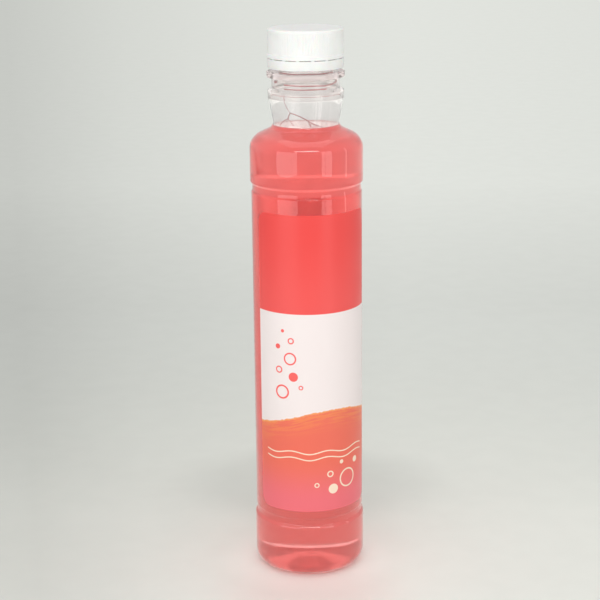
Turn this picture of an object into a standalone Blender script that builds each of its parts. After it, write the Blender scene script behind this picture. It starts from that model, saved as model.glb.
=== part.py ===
"""Mouthwash bottle: a blown clear bottle with its liquid, a screw cap, a tamper ring and two labels.

The bottle stands on its base ring at the origin with +Z up, and its front label faces -Y.
Every size is the real one, in metres. Angles around the bottle start at -Y and run towards +X.
"""
import math

import bmesh
import bpy

MM = 0.001

# Driving sizes of the body, from the base up
BAND_RADIUS = 25.7 * MM
HEEL_RADIUS = 7.1 * MM
STANDING_RING_WIDTH = 1.7 * MM
PUSH_UP_HEIGHT = 5.0 * MM
GATE_RADIUS = 1.8 * MM
GATE_HEIGHT = 0.8 * MM
LOWER_BAND_HEIGHT = 25.6 * MM
PANEL_HEIGHT = 159.3 * MM
UPPER_BAND_HEIGHT = 15.2 * MM
PANEL_DEPTH = 0.5 * MM
GROOVE_WIDTH = 3.8 * MM
GROOVE_DEPTH = 0.45 * MM
EDGE_RISE = 1.8 * MM
LIP_RISE = 1.3 * MM
SHOULDER_RADIUS = 7.7 * MM
SHOULDER_SLOPE_DEG = 25.0
WALL = 0.45 * MM
FILL_BELOW_NECK = 1.3 * MM
LIQUID_GAP = 0.3 * MM

# Driving sizes of the neck, from the shoulder to the mouth
NECK_FILLET = 3.5 * MM
NECK_ROOT_RADIUS = 15.0 * MM
CONE_HEIGHT = 10.7 * MM
COLLAR_REACH = 1.7 * MM
COLLAR_HEIGHT = 3.8 * MM
COLLAR_BEVEL = 0.9 * MM
COLLAR_WALL = 1.0 * MM
RELIEF_WIDTH = 0.6 * MM
RELIEF_DEPTH = 0.35 * MM
NECK_HEIGHT = 4.0 * MM
NECK_WALL = 1.1 * MM
SUPPORT_RING_REACH = 2.1 * MM
SUPPORT_RING_HEIGHT = 2.6 * MM
SUPPORT_RING_EDGE = 0.5 * MM
FINISH_HEIGHT = 16.2 * MM
FINISH_RADIUS = 14.3 * MM
FINISH_WALL = 1.8 * MM
LIP_ROUND = 0.5 * MM
LOCK_BEAD_BELOW = 3.4 * MM
LOCK_BEAD_REACH = 0.65 * MM
LOCK_BEAD_HEIGHT = 0.7 * MM
LOCK_BEAD_SLOPE = 1.5 * MM

# Driving sizes of the thread, which the neck and the cap share
THREAD_PITCH = 3.2 * MM
THREAD_TURNS = 2.0
THREAD_DEPTH = 1.1 * MM
THREAD_ROOT_WIDTH = 1.5 * MM
THREAD_CREST_WIDTH = 0.7 * MM
THREAD_BELOW_MOUTH = 2.6 * MM
THREAD_CLEARANCE = 0.4 * MM
THREAD_SINK = 0.3 * MM

# Driving sizes of the cap and its liner
SEAT_GAP = 0.3 * MM
LINER_THICKNESS = 0.9 * MM
LINER_EDGE = 0.2 * MM
CAP_TOP_WALL = 1.5 * MM
CAP_WALL = 1.15 * MM
CAP_HEIGHT = 12.9 * MM
CAP_EDGE_ROUND = 0.9 * MM
CAP_BAND_HEIGHT = 2.9 * MM
CAP_BAND_REACH = 0.3 * MM
CAP_BEVEL = 0.25 * MM
RIB_COUNT = 84
RIB_DEPTH = 0.3 * MM
RIB_TOP_MARGIN = 0.5 * MM

# Driving sizes of the tamper ring
SLOT_HEIGHT = 0.6 * MM
TAMPER_HEIGHT = 4.0 * MM
TAMPER_WALL = 0.85 * MM
TAMPER_TAPER = 0.3 * MM
TAMPER_CLEARANCE = 0.3 * MM
SNAP_REACH = 0.5 * MM
SNAP_HEIGHT = 0.6 * MM
SNAP_SLOPE = 0.5 * MM
BRIDGE_COUNT = 16
BRIDGE_WIDTH = 0.65 * MM
BRIDGE_HEIGHT = 0.3 * MM
BRIDGE_PHASE_DEG = 1.65

# Driving sizes of the labels
LABEL_WIDTH = 61.2 * MM
LABEL_ABOVE_LEDGE = 7.9 * MM
LABEL_BELOW_BAND = 10.9 * MM
LABEL_CORNER = 5.0 * MM
LABEL_THICKNESS = 0.15 * MM
LABEL_GAP = 0.25 * MM

# How finely the round shapes are divided
COLUMNS = 32
RIBS_PER_INNER_COLUMN = 2
FINE_ARC = 4
COARSE_ARC = 3
CORNER_STEPS = 5
TAPER_TURN_SHARE = 0.12
TAPER_START_SHARE = 0.2

# Heights that follow from the driving sizes
LEDGE_Z = LOWER_BAND_HEIGHT
BAND_EDGE_Z = LEDGE_Z + PANEL_HEIGHT
SHOULDER_Z = BAND_EDGE_Z + UPPER_BAND_HEIGHT
SLOPE = math.radians(SHOULDER_SLOPE_DEG)


def neck_root_height():
    """Height where the straight cone of the neck begins, above the two shoulder arcs."""
    across, along = math.sin(SLOPE), math.cos(SLOPE)
    start_r = BAND_RADIUS - SHOULDER_RADIUS + SHOULDER_RADIUS * across
    start_z = SHOULDER_Z + SHOULDER_RADIUS * along
    reach = start_r * across + start_z * along
    return (reach + NECK_FILLET - (NECK_ROOT_RADIUS + NECK_FILLET) * across) / along


NECK_ROOT_Z = neck_root_height()
COLLAR_Z = NECK_ROOT_Z + CONE_HEIGHT
COLLAR_TOP_Z = COLLAR_Z + COLLAR_HEIGHT
NECK_Z = COLLAR_TOP_Z + COLLAR_BEVEL + RELIEF_WIDTH
RING_Z = NECK_Z + NECK_HEIGHT
FINISH_Z = RING_Z + SUPPORT_RING_HEIGHT
MOUTH_Z = FINISH_Z + FINISH_HEIGHT
FILL_Z = NECK_ROOT_Z - FILL_BELOW_NECK
LINER_Z = MOUTH_Z + SEAT_GAP
CEILING_Z = LINER_Z + LINER_THICKNESS + SEAT_GAP
CAP_TOP_Z = CEILING_Z + CAP_TOP_WALL
CAP_Z = CAP_TOP_Z - CAP_HEIGHT
TAMPER_TOP_Z = CAP_Z - SLOT_HEIGHT
TAMPER_Z = TAMPER_TOP_Z - TAMPER_HEIGHT
THREAD_TOP_Z = MOUTH_Z - THREAD_BELOW_MOUTH
THREAD_Z = THREAD_TOP_Z - THREAD_TURNS * THREAD_PITCH

# Radii that follow from the driving sizes
PANEL_RADIUS = BAND_RADIUS - PANEL_DEPTH
GROOVE_RADIUS = PANEL_RADIUS - GROOVE_DEPTH
BORE_RADIUS = FINISH_RADIUS - FINISH_WALL
THREAD_RADIUS = FINISH_RADIUS + THREAD_DEPTH
NECK_RADIUS = THREAD_RADIUS
COLLAR_RADIUS = NECK_RADIUS + COLLAR_REACH
LOCK_BEAD_RADIUS = NECK_RADIUS + LOCK_BEAD_REACH
CAP_INNER_RADIUS = THREAD_RADIUS + THREAD_CLEARANCE
CAP_RADIUS = CAP_INNER_RADIUS + CAP_WALL
CAP_BAND_RADIUS = CAP_RADIUS + CAP_BAND_REACH
TAMPER_INNER_RADIUS = LOCK_BEAD_RADIUS + TAMPER_CLEARANCE
TAMPER_RADIUS = TAMPER_INNER_RADIUS + TAMPER_WALL


def clear_scene():
    for item in list(bpy.data.objects):
        bpy.data.objects.remove(item, do_unlink=True)


def make_material(name, colour, roughness, metallic=0.0, transmission=0.0):
    material = bpy.data.materials.new(name)
    material.use_nodes = True
    shader = material.node_tree.nodes["Principled BSDF"]
    shader.inputs["Base Color"].default_value = (*colour, 1.0)
    shader.inputs["Roughness"].default_value = roughness
    shader.inputs["Metallic"].default_value = metallic
    shader.inputs["Transmission Weight"].default_value = transmission
    return material


def finish_object(name, bm, material, origin_z=0.0):
    """Turn a closed bmesh into a named object whose origin lies on the bottle's axis."""
    bmesh.ops.recalc_face_normals(bm, faces=bm.faces)
    bmesh.ops.translate(bm, verts=bm.verts, vec=(0.0, 0.0, -origin_z))
    mesh = bpy.data.meshes.new(name)
    bm.to_mesh(mesh)
    bm.free()
    mesh.materials.append(material)
    mesh.shade_smooth()
    mesh.set_sharp_from_angle(angle=math.radians(35.0))
    item = bpy.data.objects.new(name, mesh)
    item.location.z = origin_z
    bpy.context.scene.collection.objects.link(item)
    return item


def even_columns(count):
    return [math.tau * step / count for step in range(count)]


def around(radius, angle, z):
    return (radius * math.sin(angle), -radius * math.cos(angle), z)


def arc(centre_r, centre_z, radius, start_deg, end_deg, steps):
    """Points of an arc in the outline's plane. Zero degrees points away from the axis."""
    points = []
    for step in range(steps + 1):
        angle = math.radians(start_deg + (end_deg - start_deg) * step / steps)
        points.append((centre_r + radius * math.cos(angle), centre_z + radius * math.sin(angle)))
    return points


def wave(start, end, steps):
    """Points of a smooth step from one radius to another, level with the wall at both ends."""
    points = []
    for step in range(steps + 1):
        share = step / steps
        blend = (1.0 - math.cos(math.pi * share)) / 2.0
        radius = start[0] + (end[0] - start[0]) * blend
        points.append((radius, start[1] + (end[1] - start[1]) * share))
    return points


def body_outline(steps):
    """Outer outline of the blown body, from the middle of the base to the top of the collar."""
    ring_outer = BAND_RADIUS - HEEL_RADIUS
    ring_inner = ring_outer - STANDING_RING_WIDTH
    half_edge, half_lip = EDGE_RISE / 2.0, LIP_RISE / 2.0
    points = [(0.0, PUSH_UP_HEIGHT - GATE_HEIGHT), (GATE_RADIUS, PUSH_UP_HEIGHT - GATE_HEIGHT)]
    dome_steps = steps + 2
    for step in range(dome_steps + 1):
        radius = GATE_RADIUS + (ring_inner - GATE_RADIUS) * step / dome_steps
        turn = math.pi * (radius - GATE_RADIUS) / (ring_inner - GATE_RADIUS)
        points.append((radius, PUSH_UP_HEIGHT * (1.0 + math.cos(turn)) / 2.0))
    points += arc(ring_outer, HEEL_RADIUS, HEEL_RADIUS, -90.0, 0.0, steps + 1)
    points += wave((BAND_RADIUS, LEDGE_Z - half_edge), (GROOVE_RADIUS, LEDGE_Z + half_edge), steps)
    lower_lip = LEDGE_Z + GROOVE_WIDTH
    points += wave((GROOVE_RADIUS, lower_lip - half_lip), (PANEL_RADIUS, lower_lip + half_lip), steps)
    upper_lip = BAND_EDGE_Z - GROOVE_WIDTH
    points += wave((PANEL_RADIUS, upper_lip - half_lip), (GROOVE_RADIUS, upper_lip + half_lip), steps)
    points += wave((GROOVE_RADIUS, BAND_EDGE_Z - half_edge), (BAND_RADIUS, BAND_EDGE_Z + half_edge), steps)
    turn_deg = 90.0 - SHOULDER_SLOPE_DEG
    points += arc(BAND_RADIUS - SHOULDER_RADIUS, SHOULDER_Z, SHOULDER_RADIUS, 0.0, turn_deg, steps)
    fillet_r = NECK_ROOT_RADIUS + NECK_FILLET
    points += arc(fillet_r, NECK_ROOT_Z, NECK_FILLET, 180.0 + turn_deg, 180.0, steps)
    points += [(COLLAR_RADIUS, COLLAR_Z), (COLLAR_RADIUS, COLLAR_TOP_Z)]
    return points


def neck_outline(steps):
    """Outer outline of the neck, from the collar's bevel to the mouth."""
    relief_radius = NECK_RADIUS - RELIEF_DEPTH
    ring_radius = NECK_RADIUS + SUPPORT_RING_REACH
    bead_z = FINISH_Z + LOCK_BEAD_BELOW
    bead_top = bead_z + LOCK_BEAD_HEIGHT
    return [
        (NECK_RADIUS, COLLAR_TOP_Z + COLLAR_BEVEL),
        (relief_radius, COLLAR_TOP_Z + COLLAR_BEVEL + RELIEF_WIDTH / 2.0),
        (NECK_RADIUS, NECK_Z),
        (NECK_RADIUS, RING_Z),
        (ring_radius - SUPPORT_RING_EDGE, RING_Z + SUPPORT_RING_EDGE),
        (ring_radius, RING_Z + 2.0 * SUPPORT_RING_EDGE),
        (ring_radius, FINISH_Z - SUPPORT_RING_EDGE),
        (ring_radius - SUPPORT_RING_EDGE, FINISH_Z),
        (NECK_RADIUS, FINISH_Z),
        (NECK_RADIUS, bead_z - LOCK_BEAD_REACH / 2.0),
        (LOCK_BEAD_RADIUS, bead_z),
        (LOCK_BEAD_RADIUS, bead_top),
        (FINISH_RADIUS, bead_top + LOCK_BEAD_SLOPE),
    ] + arc(FINISH_RADIUS - LIP_ROUND, MOUTH_Z - LIP_ROUND, LIP_ROUND, 0.0, 90.0, steps)


def offset_outline(points, distance):
    """The outline moved into the material by a distance, square to its own direction."""
    clean = [points[0]]
    for point in points[1:]:
        if math.dist(point, clean[-1]) > distance / 100.0:
            clean.append(point)
    moved = []
    for index, point in enumerate(clean):
        before = clean[max(index - 1, 0)]
        after = clean[min(index + 1, len(clean) - 1)]
        run_r, run_z = after[0] - before[0], after[1] - before[1]
        length = math.hypot(run_r, run_z)
        radius = point[0] - distance * run_z / length
        moved.append((0.0 if index == 0 else radius, point[1] + distance * run_r / length))
    return moved


def cut_at_height(points, height):
    """The outline up to a level, which a flat top then closes at the axis."""
    kept = [points[0]]
    for low, high in zip(points, points[1:]):
        if high[1] > height and low[1] <= height and high[0] > GATE_RADIUS:
            share = (height - low[1]) / (high[1] - low[1])
            kept.append((low[0] + (high[0] - low[0]) * share, height))
            break
        kept.append(high)
    return kept + [(0.0, height)]


def inner_base(points):
    """The inner outline starts flat above the gate, which is a solid stub below."""
    return [(0.0, points[2][1]), (points[2][0], points[2][1])] + points[3:]


def inner_outline(gap, steps):
    return inner_base(offset_outline(body_outline(steps), WALL + gap))


def add_ring(bm, radii, z, angles):
    return [bm.verts.new(around(radius, angle, z)) for radius, angle in zip(radii, angles)]


def join_rings(bm, low, high):
    count = max(len(low), len(high))
    for index in range(count):
        after = (index + 1) % count
        if len(low) == 1:
            bm.faces.new((low[0], high[after], high[index]))
        elif len(high) == 1:
            bm.faces.new((low[index], low[after], high[0]))
        else:
            bm.faces.new((low[index], low[after], high[after], high[index]))


def turn_outline(outline, angles, loop=False):
    """A closed body turned from an outline that has its material on the left."""
    bm = bmesh.new()
    rings = []
    for radius, z in outline:
        if rings and math.dist((radius, z), last) < WALL / 50.0:
            continue
        last = (radius, z)
        if radius <= 0.0:
            rings.append([bm.verts.new((0.0, 0.0, z))])
        else:
            rings.append(add_ring(bm, [radius] * len(angles), z, angles))
    for low, high in zip(rings, rings[1:]):
        join_rings(bm, low, high)
    if loop:
        join_rings(bm, rings[-1], rings[0])
    return bm


def thread_ridge(name, root_radius, crest_radius, start_z, turns, phase):
    """A helical ridge with a trapezium section that fades in and out at its two ends."""
    bm = bmesh.new()
    steps = round(turns * COLUMNS)
    fade = max(1, round(TAPER_TURN_SHARE * COLUMNS))
    sections = []
    for step in range(steps + 1):
        nearest_end = min(step, steps - step)
        rise = TAPER_START_SHARE + (1.0 - TAPER_START_SHARE) * min(1.0, nearest_end / fade)
        crest = root_radius + (crest_radius - root_radius) * rise
        angle = phase + math.tau * step / COLUMNS
        middle = start_z + THREAD_PITCH * step / COLUMNS
        corners = [
            (root_radius, middle - THREAD_ROOT_WIDTH / 2.0),
            (crest, middle - THREAD_CREST_WIDTH / 2.0),
            (crest, middle + THREAD_CREST_WIDTH / 2.0),
            (root_radius, middle + THREAD_ROOT_WIDTH / 2.0),
        ]
        sections.append([bm.verts.new(around(radius, angle, z)) for radius, z in corners])
    for here, there in zip(sections, sections[1:]):
        for corner in range(4):
            after = (corner + 1) % 4
            bm.faces.new((here[corner], here[after], there[after], there[corner]))
    bm.faces.new(sections[0])
    bm.faces.new(sections[-1])
    bmesh.ops.triangulate(bm, faces=bm.faces)
    return bm


def add_thread(item, ridge):
    """Join a ridge to its carrier, and keep the ridge as a hidden guide."""
    ridge.hide_render = True
    ridge.display_type = "WIRE"
    union = item.modifiers.new("thread", "BOOLEAN")
    union.operation = "UNION"
    union.solver = "EXACT"
    union.object = ridge


def make_bottle(material):
    outer = body_outline(FINE_ARC) + neck_outline(COARSE_ARC)
    inner = inner_outline(0.0, COARSE_ARC)[:-2]
    collar_inner = COLLAR_RADIUS - COLLAR_WALL
    inner += [
        (collar_inner, COLLAR_Z),
        (collar_inner, COLLAR_TOP_Z - COLLAR_WALL),
        (NECK_RADIUS - NECK_WALL, COLLAR_TOP_Z),
        (BORE_RADIUS, RING_Z),
    ]
    lip = arc(BORE_RADIUS + LIP_ROUND, MOUTH_Z - LIP_ROUND, LIP_ROUND, 180.0, 90.0, COARSE_ARC)
    outline = outer + list(reversed(inner + lip))
    bottle = finish_object("bottle", turn_outline(outline, even_columns(COLUMNS)), material)
    phase = math.pi / COLUMNS
    bm = thread_ridge("neck_thread", FINISH_RADIUS - THREAD_SINK, THREAD_RADIUS, THREAD_Z, THREAD_TURNS, phase)
    add_thread(bottle, finish_object("neck_thread", bm, material))
    return bottle


def make_mouthwash(material):
    outline = cut_at_height(inner_outline(LIQUID_GAP, COARSE_ARC), FILL_Z)
    return finish_object("mouthwash", turn_outline(outline, even_columns(COLUMNS)), material)


def cap_outer_rows():
    """Heights of the cap's outer skin, each with its radius between the ribs and on them."""
    rib_low = CAP_Z + CAP_BAND_HEIGHT
    rib_high = CAP_TOP_Z - CAP_EDGE_ROUND - RIB_TOP_MARGIN
    valley = CAP_RADIUS - RIB_DEPTH
    rows = [
        (CAP_BAND_RADIUS - CAP_BEVEL, CAP_BAND_RADIUS - CAP_BEVEL, CAP_Z),
        (CAP_BAND_RADIUS, CAP_BAND_RADIUS, CAP_Z + CAP_BEVEL),
        (CAP_BAND_RADIUS, CAP_BAND_RADIUS, rib_low - CAP_BAND_REACH),
        (CAP_RADIUS, CAP_RADIUS, rib_low),
        (valley, CAP_RADIUS, rib_low + RIB_DEPTH),
        (valley, CAP_RADIUS, rib_high - RIB_DEPTH),
        (CAP_RADIUS, CAP_RADIUS, rib_high),
    ]
    for radius, z in arc(CAP_RADIUS - CAP_EDGE_ROUND, CAP_TOP_Z - CAP_EDGE_ROUND, CAP_EDGE_ROUND, 0.0, 90.0, 3):
        rows.append((radius, radius, z))
    return rows


def make_cap(material):
    bm = bmesh.new()
    fine = even_columns(2 * RIB_COUNT)
    coarse = even_columns(RIB_COUNT // RIBS_PER_INNER_COLUMN)
    rings = []
    for valley, tip, z in cap_outer_rows():
        rings.append(add_ring(bm, [tip if step % 2 else valley for step in range(len(fine))], z, fine))
    for low, high in zip(rings, rings[1:]):
        join_rings(bm, low, high)
    bm.faces.new(rings[-1])
    skirt = add_ring(bm, [CAP_INNER_RADIUS] * len(coarse), CAP_Z, coarse)
    ceiling = add_ring(bm, [CAP_INNER_RADIUS] * len(coarse), CEILING_Z, coarse)
    join_rings(bm, ceiling, skirt)
    bm.faces.new(list(reversed(ceiling)))
    stride = len(fine) // len(coarse)
    for index in range(len(coarse)):
        after = (index + 1) % len(coarse)
        outer = [rings[0][(index * stride + step) % len(fine)] for step in range(stride + 1)]
        bm.faces.new([skirt[after]] + list(reversed(outer)) + [skirt[index]])
    cap = finish_object("cap", bm, material, CAP_Z)
    turns = THREAD_TURNS
    start_z = THREAD_Z + THREAD_PITCH / 2.0
    crest = FINISH_RADIUS + THREAD_CLEARANCE
    ridge = thread_ridge("cap_thread", CAP_INNER_RADIUS + THREAD_SINK, crest, start_z, turns, math.pi / COLUMNS)
    add_thread(cap, finish_object("cap_thread", ridge, material, CAP_Z))
    return cap


def make_cap_liner(material):
    radius = CAP_INNER_RADIUS - THREAD_CLEARANCE
    outline = [
        (0.0, LINER_Z),
        (radius - LINER_EDGE, LINER_Z),
        (radius, LINER_Z + LINER_EDGE),
        (radius, LINER_Z + LINER_THICKNESS - LINER_EDGE),
        (radius - LINER_EDGE, LINER_Z + LINER_THICKNESS),
        (0.0, LINER_Z + LINER_THICKNESS),
    ]
    return finish_object("cap_liner", turn_outline(outline, even_columns(COLUMNS)), material, LINER_Z)


def tamper_columns():
    """Column angles with a narrow step at each bridge and two wide ones between bridges."""
    pitch = math.tau / BRIDGE_COUNT
    half = BRIDGE_WIDTH / TAMPER_RADIUS / 2.0
    angles = []
    for bridge in range(BRIDGE_COUNT):
        middle = math.radians(BRIDGE_PHASE_DEG) + bridge * pitch
        angles += [middle - half, middle + half, middle + pitch / 2.0]
    return angles


def make_tamper_ring(material):
    snap_radius = TAMPER_INNER_RADIUS - SNAP_REACH
    snap_low = TAMPER_Z + SNAP_SLOPE
    outline = [
        (TAMPER_INNER_RADIUS, TAMPER_Z),
        (TAMPER_RADIUS - TAMPER_TAPER, TAMPER_Z),
        (TAMPER_RADIUS, TAMPER_Z + TAMPER_HEIGHT / 3.0),
        (TAMPER_RADIUS, TAMPER_TOP_Z),
        (TAMPER_INNER_RADIUS, TAMPER_TOP_Z),
        (TAMPER_INNER_RADIUS, snap_low + SNAP_HEIGHT + SNAP_SLOPE),
        (snap_radius, snap_low + SNAP_HEIGHT),
        (snap_radius, snap_low),
    ]
    bm = turn_outline(outline, tamper_columns(), loop=True)
    bm.faces.ensure_lookup_table()
    half = BRIDGE_WIDTH / TAMPER_RADIUS
    bridge_faces = []
    for face in bm.faces:
        centre = face.calc_center_median()
        flat_top = all(abs(vert.co.z - TAMPER_TOP_Z) < BRIDGE_HEIGHT / 10.0 for vert in face.verts)
        pair = sorted(face.verts, key=lambda vert: -vert.co.xy.length)[:2]
        narrow = (pair[0].co - pair[1].co).length < 2.0 * half * TAMPER_RADIUS
        if flat_top and narrow and centre.xy.length > snap_radius:
            bridge_faces.append(face)
    raised = bmesh.ops.extrude_discrete_faces(bm, faces=bridge_faces)
    for face in raised["faces"]:
        bmesh.ops.translate(bm, verts=face.verts, vec=(0.0, 0.0, BRIDGE_HEIGHT))
    return finish_object("tamper_ring", bm, material, TAMPER_Z)


def label_columns():
    """Places across the label, with its rounded corners, as (distance, drop of the edge)."""
    half = LABEL_WIDTH / 2.0
    straight = half - LABEL_CORNER
    corner = []
    for step in range(CORNER_STEPS + 1):
        angle = math.pi / 2.0 * step / CORNER_STEPS
        corner.append((straight + LABEL_CORNER * math.sin(angle), LABEL_CORNER * (1.0 - math.cos(angle))))
    middle_steps = max(2, round(COLUMNS * 2.0 * straight / (math.tau * PANEL_RADIUS)))
    middle = [(-straight + 2.0 * straight * step / middle_steps, 0.0) for step in range(1, middle_steps)]
    left = [(-place, drop) for place, drop in reversed(corner)]
    return left + middle + corner


def make_label(name, material, facing):
    """A thin label wrapped on the panel, centred on an angle around the bottle."""
    bm = bmesh.new()
    inner_radius = PANEL_RADIUS + LABEL_GAP
    outer_radius = inner_radius + LABEL_THICKNESS
    low_z = LEDGE_Z + LABEL_ABOVE_LEDGE
    high_z = BAND_EDGE_Z - LABEL_BELOW_BAND
    columns = []
    for place, drop in label_columns():
        angle = facing + place / outer_radius
        corners = [
            (inner_radius, low_z + drop),
            (outer_radius, low_z + drop),
            (outer_radius, high_z - drop),
            (inner_radius, high_z - drop),
        ]
        columns.append([bm.verts.new(around(radius, angle, z)) for radius, z in corners])
    for here, there in zip(columns, columns[1:]):
        for corner in range(4):
            after = (corner + 1) % 4
            bm.faces.new((here[corner], there[corner], there[after], here[after]))
    bm.faces.new(columns[0])
    bm.faces.new(list(reversed(columns[-1])))
    return finish_object(name, bm, material)


def main():
    clear_scene()
    clear_plastic = make_material("clear_bottle_plastic", (0.92, 0.91, 0.90), 0.05, transmission=0.9)
    liquid = make_material("pink_liquid", (0.85, 0.16, 0.14), 0.05, transmission=0.6)
    white_plastic = make_material("white_cap_plastic", (0.93, 0.93, 0.92), 0.35)
    foam = make_material("liner_foam", (0.85, 0.85, 0.84), 0.8)
    label_film = make_material("label_film", (0.90, 0.22, 0.20), 0.4)
    make_bottle(clear_plastic)
    make_mouthwash(liquid)
    make_cap(white_plastic)
    make_cap_liner(foam)
    make_tamper_ring(white_plastic)
    make_label("front_label", label_film, 0.0)
    make_label("back_label", label_film, math.pi)


main()
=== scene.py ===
import math

import bpy
from mathutils import Matrix, Vector


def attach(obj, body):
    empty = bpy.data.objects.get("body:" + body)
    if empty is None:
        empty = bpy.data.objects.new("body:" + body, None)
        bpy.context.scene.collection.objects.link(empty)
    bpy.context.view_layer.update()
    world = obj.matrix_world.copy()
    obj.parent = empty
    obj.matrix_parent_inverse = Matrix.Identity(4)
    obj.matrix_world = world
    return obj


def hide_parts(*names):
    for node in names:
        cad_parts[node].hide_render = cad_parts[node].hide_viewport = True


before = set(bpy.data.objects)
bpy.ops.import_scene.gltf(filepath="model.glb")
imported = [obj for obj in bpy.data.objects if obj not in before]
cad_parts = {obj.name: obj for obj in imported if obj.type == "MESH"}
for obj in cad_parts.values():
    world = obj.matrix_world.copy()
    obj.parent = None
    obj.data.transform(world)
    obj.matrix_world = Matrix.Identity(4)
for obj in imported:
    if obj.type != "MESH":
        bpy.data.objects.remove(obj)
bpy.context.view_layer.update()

bl_info = {
    "name": "Mouthwash Bottle",
    "version": (1, 0, 0),
    "blender": (4, 5, 0),
    "location": "3D View > Sidebar > Bottle",
    "description": "Models a clear screw-capped bottle of pink mouthwash with its labels and a plain studio",
    "category": "Add Mesh",
}

MM = 0.001
FULL_TURN = math.tau
WALL = 0.45 * MM

# Shortest distances that count: between merged points, in a traced step, and in an outline that is moved inwards
MERGE_DISTANCE = 0.002 * MM
SHORTEST_STEP = 0.005 * MM
SHORTEST_RUN = 0.02 * MM

# Body of the bottle, from the base up
HEEL_RADIUS = 7.1 * MM
STANDING_RING_WIDTH = 1.7 * MM
PUSH_UP_HEIGHT = 5.0 * MM
GATE_RADIUS = 1.8 * MM
GATE_FLAT_SHARE = 0.8
GATE_HEIGHT = 0.8 * MM
LEDGE_Z = 25.6 * MM
BAND_EDGE_Z = 184.9 * MM
SHOULDER_Z = 200.1 * MM
GROOVE_WIDTH = 3.8 * MM
GROOVE_DEPTH = 0.45 * MM
EDGE_RISE = 1.8 * MM
LIP_RISE = 1.3 * MM
SHOULDER_RADIUS = 7.7 * MM
SHOULDER_SLOPE = math.radians(25.0)

# Neck, from the shoulder to the mouth
NECK_FILLET = 3.5 * MM
NECK_ROOT_RADIUS = 15.0 * MM
NECK_ROOT_Z = 212.224 * MM
COLLAR_Z = 222.924 * MM
COLLAR_TOP_Z = 226.724 * MM
COLLAR_RADIUS = 17.1 * MM
COLLAR_BEVEL = 0.9 * MM
COLLAR_WALL = 1.0 * MM
COLLAR_FOOT_ROUND = 0.5 * MM
COLLAR_FOOT_RISE = 0.4 * MM
COLLAR_TOP_ROUND = 0.4 * MM
COLLAR_CORNER = 0.3 * MM
COLLAR_CORNER_DEPTH = 0.25 * MM
RELIEF_WIDTH = 0.6 * MM
RELIEF_DEPTH = 0.35 * MM
NECK_RADIUS = 15.4 * MM
NECK_WALL = 1.1 * MM
NECK_FLARE = 0.2 * MM
NECK_CONE_SLOPE = 0.19
RING_Z = 232.224 * MM
RING_RADIUS = 17.5 * MM
RING_EDGE = 0.25 * MM
RING_UNDERCUT = 0.3 * MM
FINISH_Z = 234.824 * MM
FINISH_RADIUS = 14.3 * MM
BORE_RADIUS = 12.5 * MM
BORE_FLARE = 0.3 * MM
BORE_FLARE_RISE = 0.4 * MM
BORE_STEP_DROP = 1.0 * MM
BORE_RISE = 1.2 * MM
MOUTH_Z = 251.024 * MM
LIP_ROUND = 0.5 * MM
LOCK_BEAD_Z = 238.224 * MM
LOCK_BEAD_RADIUS = 16.05 * MM
LOCK_BEAD_HEIGHT = 0.7 * MM
LOCK_BEAD_SLOPE = 1.5 * MM
LOCK_BEAD_FOOT = 0.35 * MM

# Thread shared by the neck and the cap
THREAD_PITCH = 3.2 * MM
THREAD_TURNS = 2.0
THREAD_Z = 242.024 * MM
THREAD_CREST_RADIUS = 15.4 * MM
THREAD_ROOT_WIDTH = 1.5 * MM
THREAD_CREST_WIDTH = 0.7 * MM
THREAD_CLEARANCE = 0.4 * MM
THREAD_SINK = 0.3 * MM
FADE_TURN_SHARE = 0.12
FADE_END_SHARE = 0.15

# Cap, liner and tamper ring
CAP_Z = 241.124 * MM
CAP_TOP_Z = 254.024 * MM
CEILING_Z = 252.524 * MM
CAP_INNER_RADIUS = 15.8 * MM
CAP_RADIUS = 16.95 * MM
CAP_BAND_RADIUS = 17.25 * MM
CAP_BAND_HEIGHT = 1.7 * MM
CAP_BEVEL = 0.03 * MM
CAP_EDGE_ROUND = 1.0 * MM
CAP_RIM_WIDTH = 2.2 * MM
CAP_MOUTH_FLARE = 0.15 * MM
CAP_MOUTH_RISE = 0.3 * MM
CEILING_CORNER = 0.4 * MM
BAND_SLOPE_HEIGHT = 0.35 * MM
BAND_CORNER_WIDTH = 0.08 * MM
BAND_CORNER_HEIGHT = 0.06 * MM
RIB_COLUMNS = 6
RIB_TOP_GAP = 0.7 * MM
RIB_FOOT = 0.3 * MM
RIB_HEAD = 0.4 * MM
RIB_MARGIN = 0.2 * MM
COLUMN_NEAR_SHARE = 0.05
CAP_SKIN = 0.1 * MM
LINER_Z = 251.324 * MM
LINER_TOP_Z = 252.224 * MM
LINER_RADIUS = 15.4 * MM
LINER_EDGE = 0.15 * MM
LINER_DENT = 0.08 * MM
LINER_DENT_SLOPE = 0.1 * MM
TAMPER_Z = 236.524 * MM
TAMPER_TOP_Z = 240.824 * MM
TAMPER_INNER_RADIUS = 16.35 * MM
TAMPER_RADIUS = 17.2 * MM
TAMPER_TAPER = 0.3 * MM
TAMPER_TAPER_HEIGHT = 1.3 * MM
TAMPER_FOOT_EDGE = 0.15 * MM
TAMPER_TOP_EDGE = 0.05 * MM
SECTOR_COLUMNS = 5
BRIDGE_HEIGHT = 0.28 * MM
SNAP_RADIUS = 15.85 * MM
SNAP_Z = 237.024 * MM
SNAP_HEIGHT = 0.6 * MM
SNAP_SLOPE = 0.5 * MM

# Labels
LABEL_Z = 33.5 * MM
LABEL_TOP_Z = 174.0 * MM
LABEL_SEAT = 0.03 * MM
LABEL_CORNER_STEPS = 8

# Shared settings of the colours that a user can change
COLOUR = {"subtype": "COLOR", "size": 3, "min": 0.0, "max": 1.0}


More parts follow.
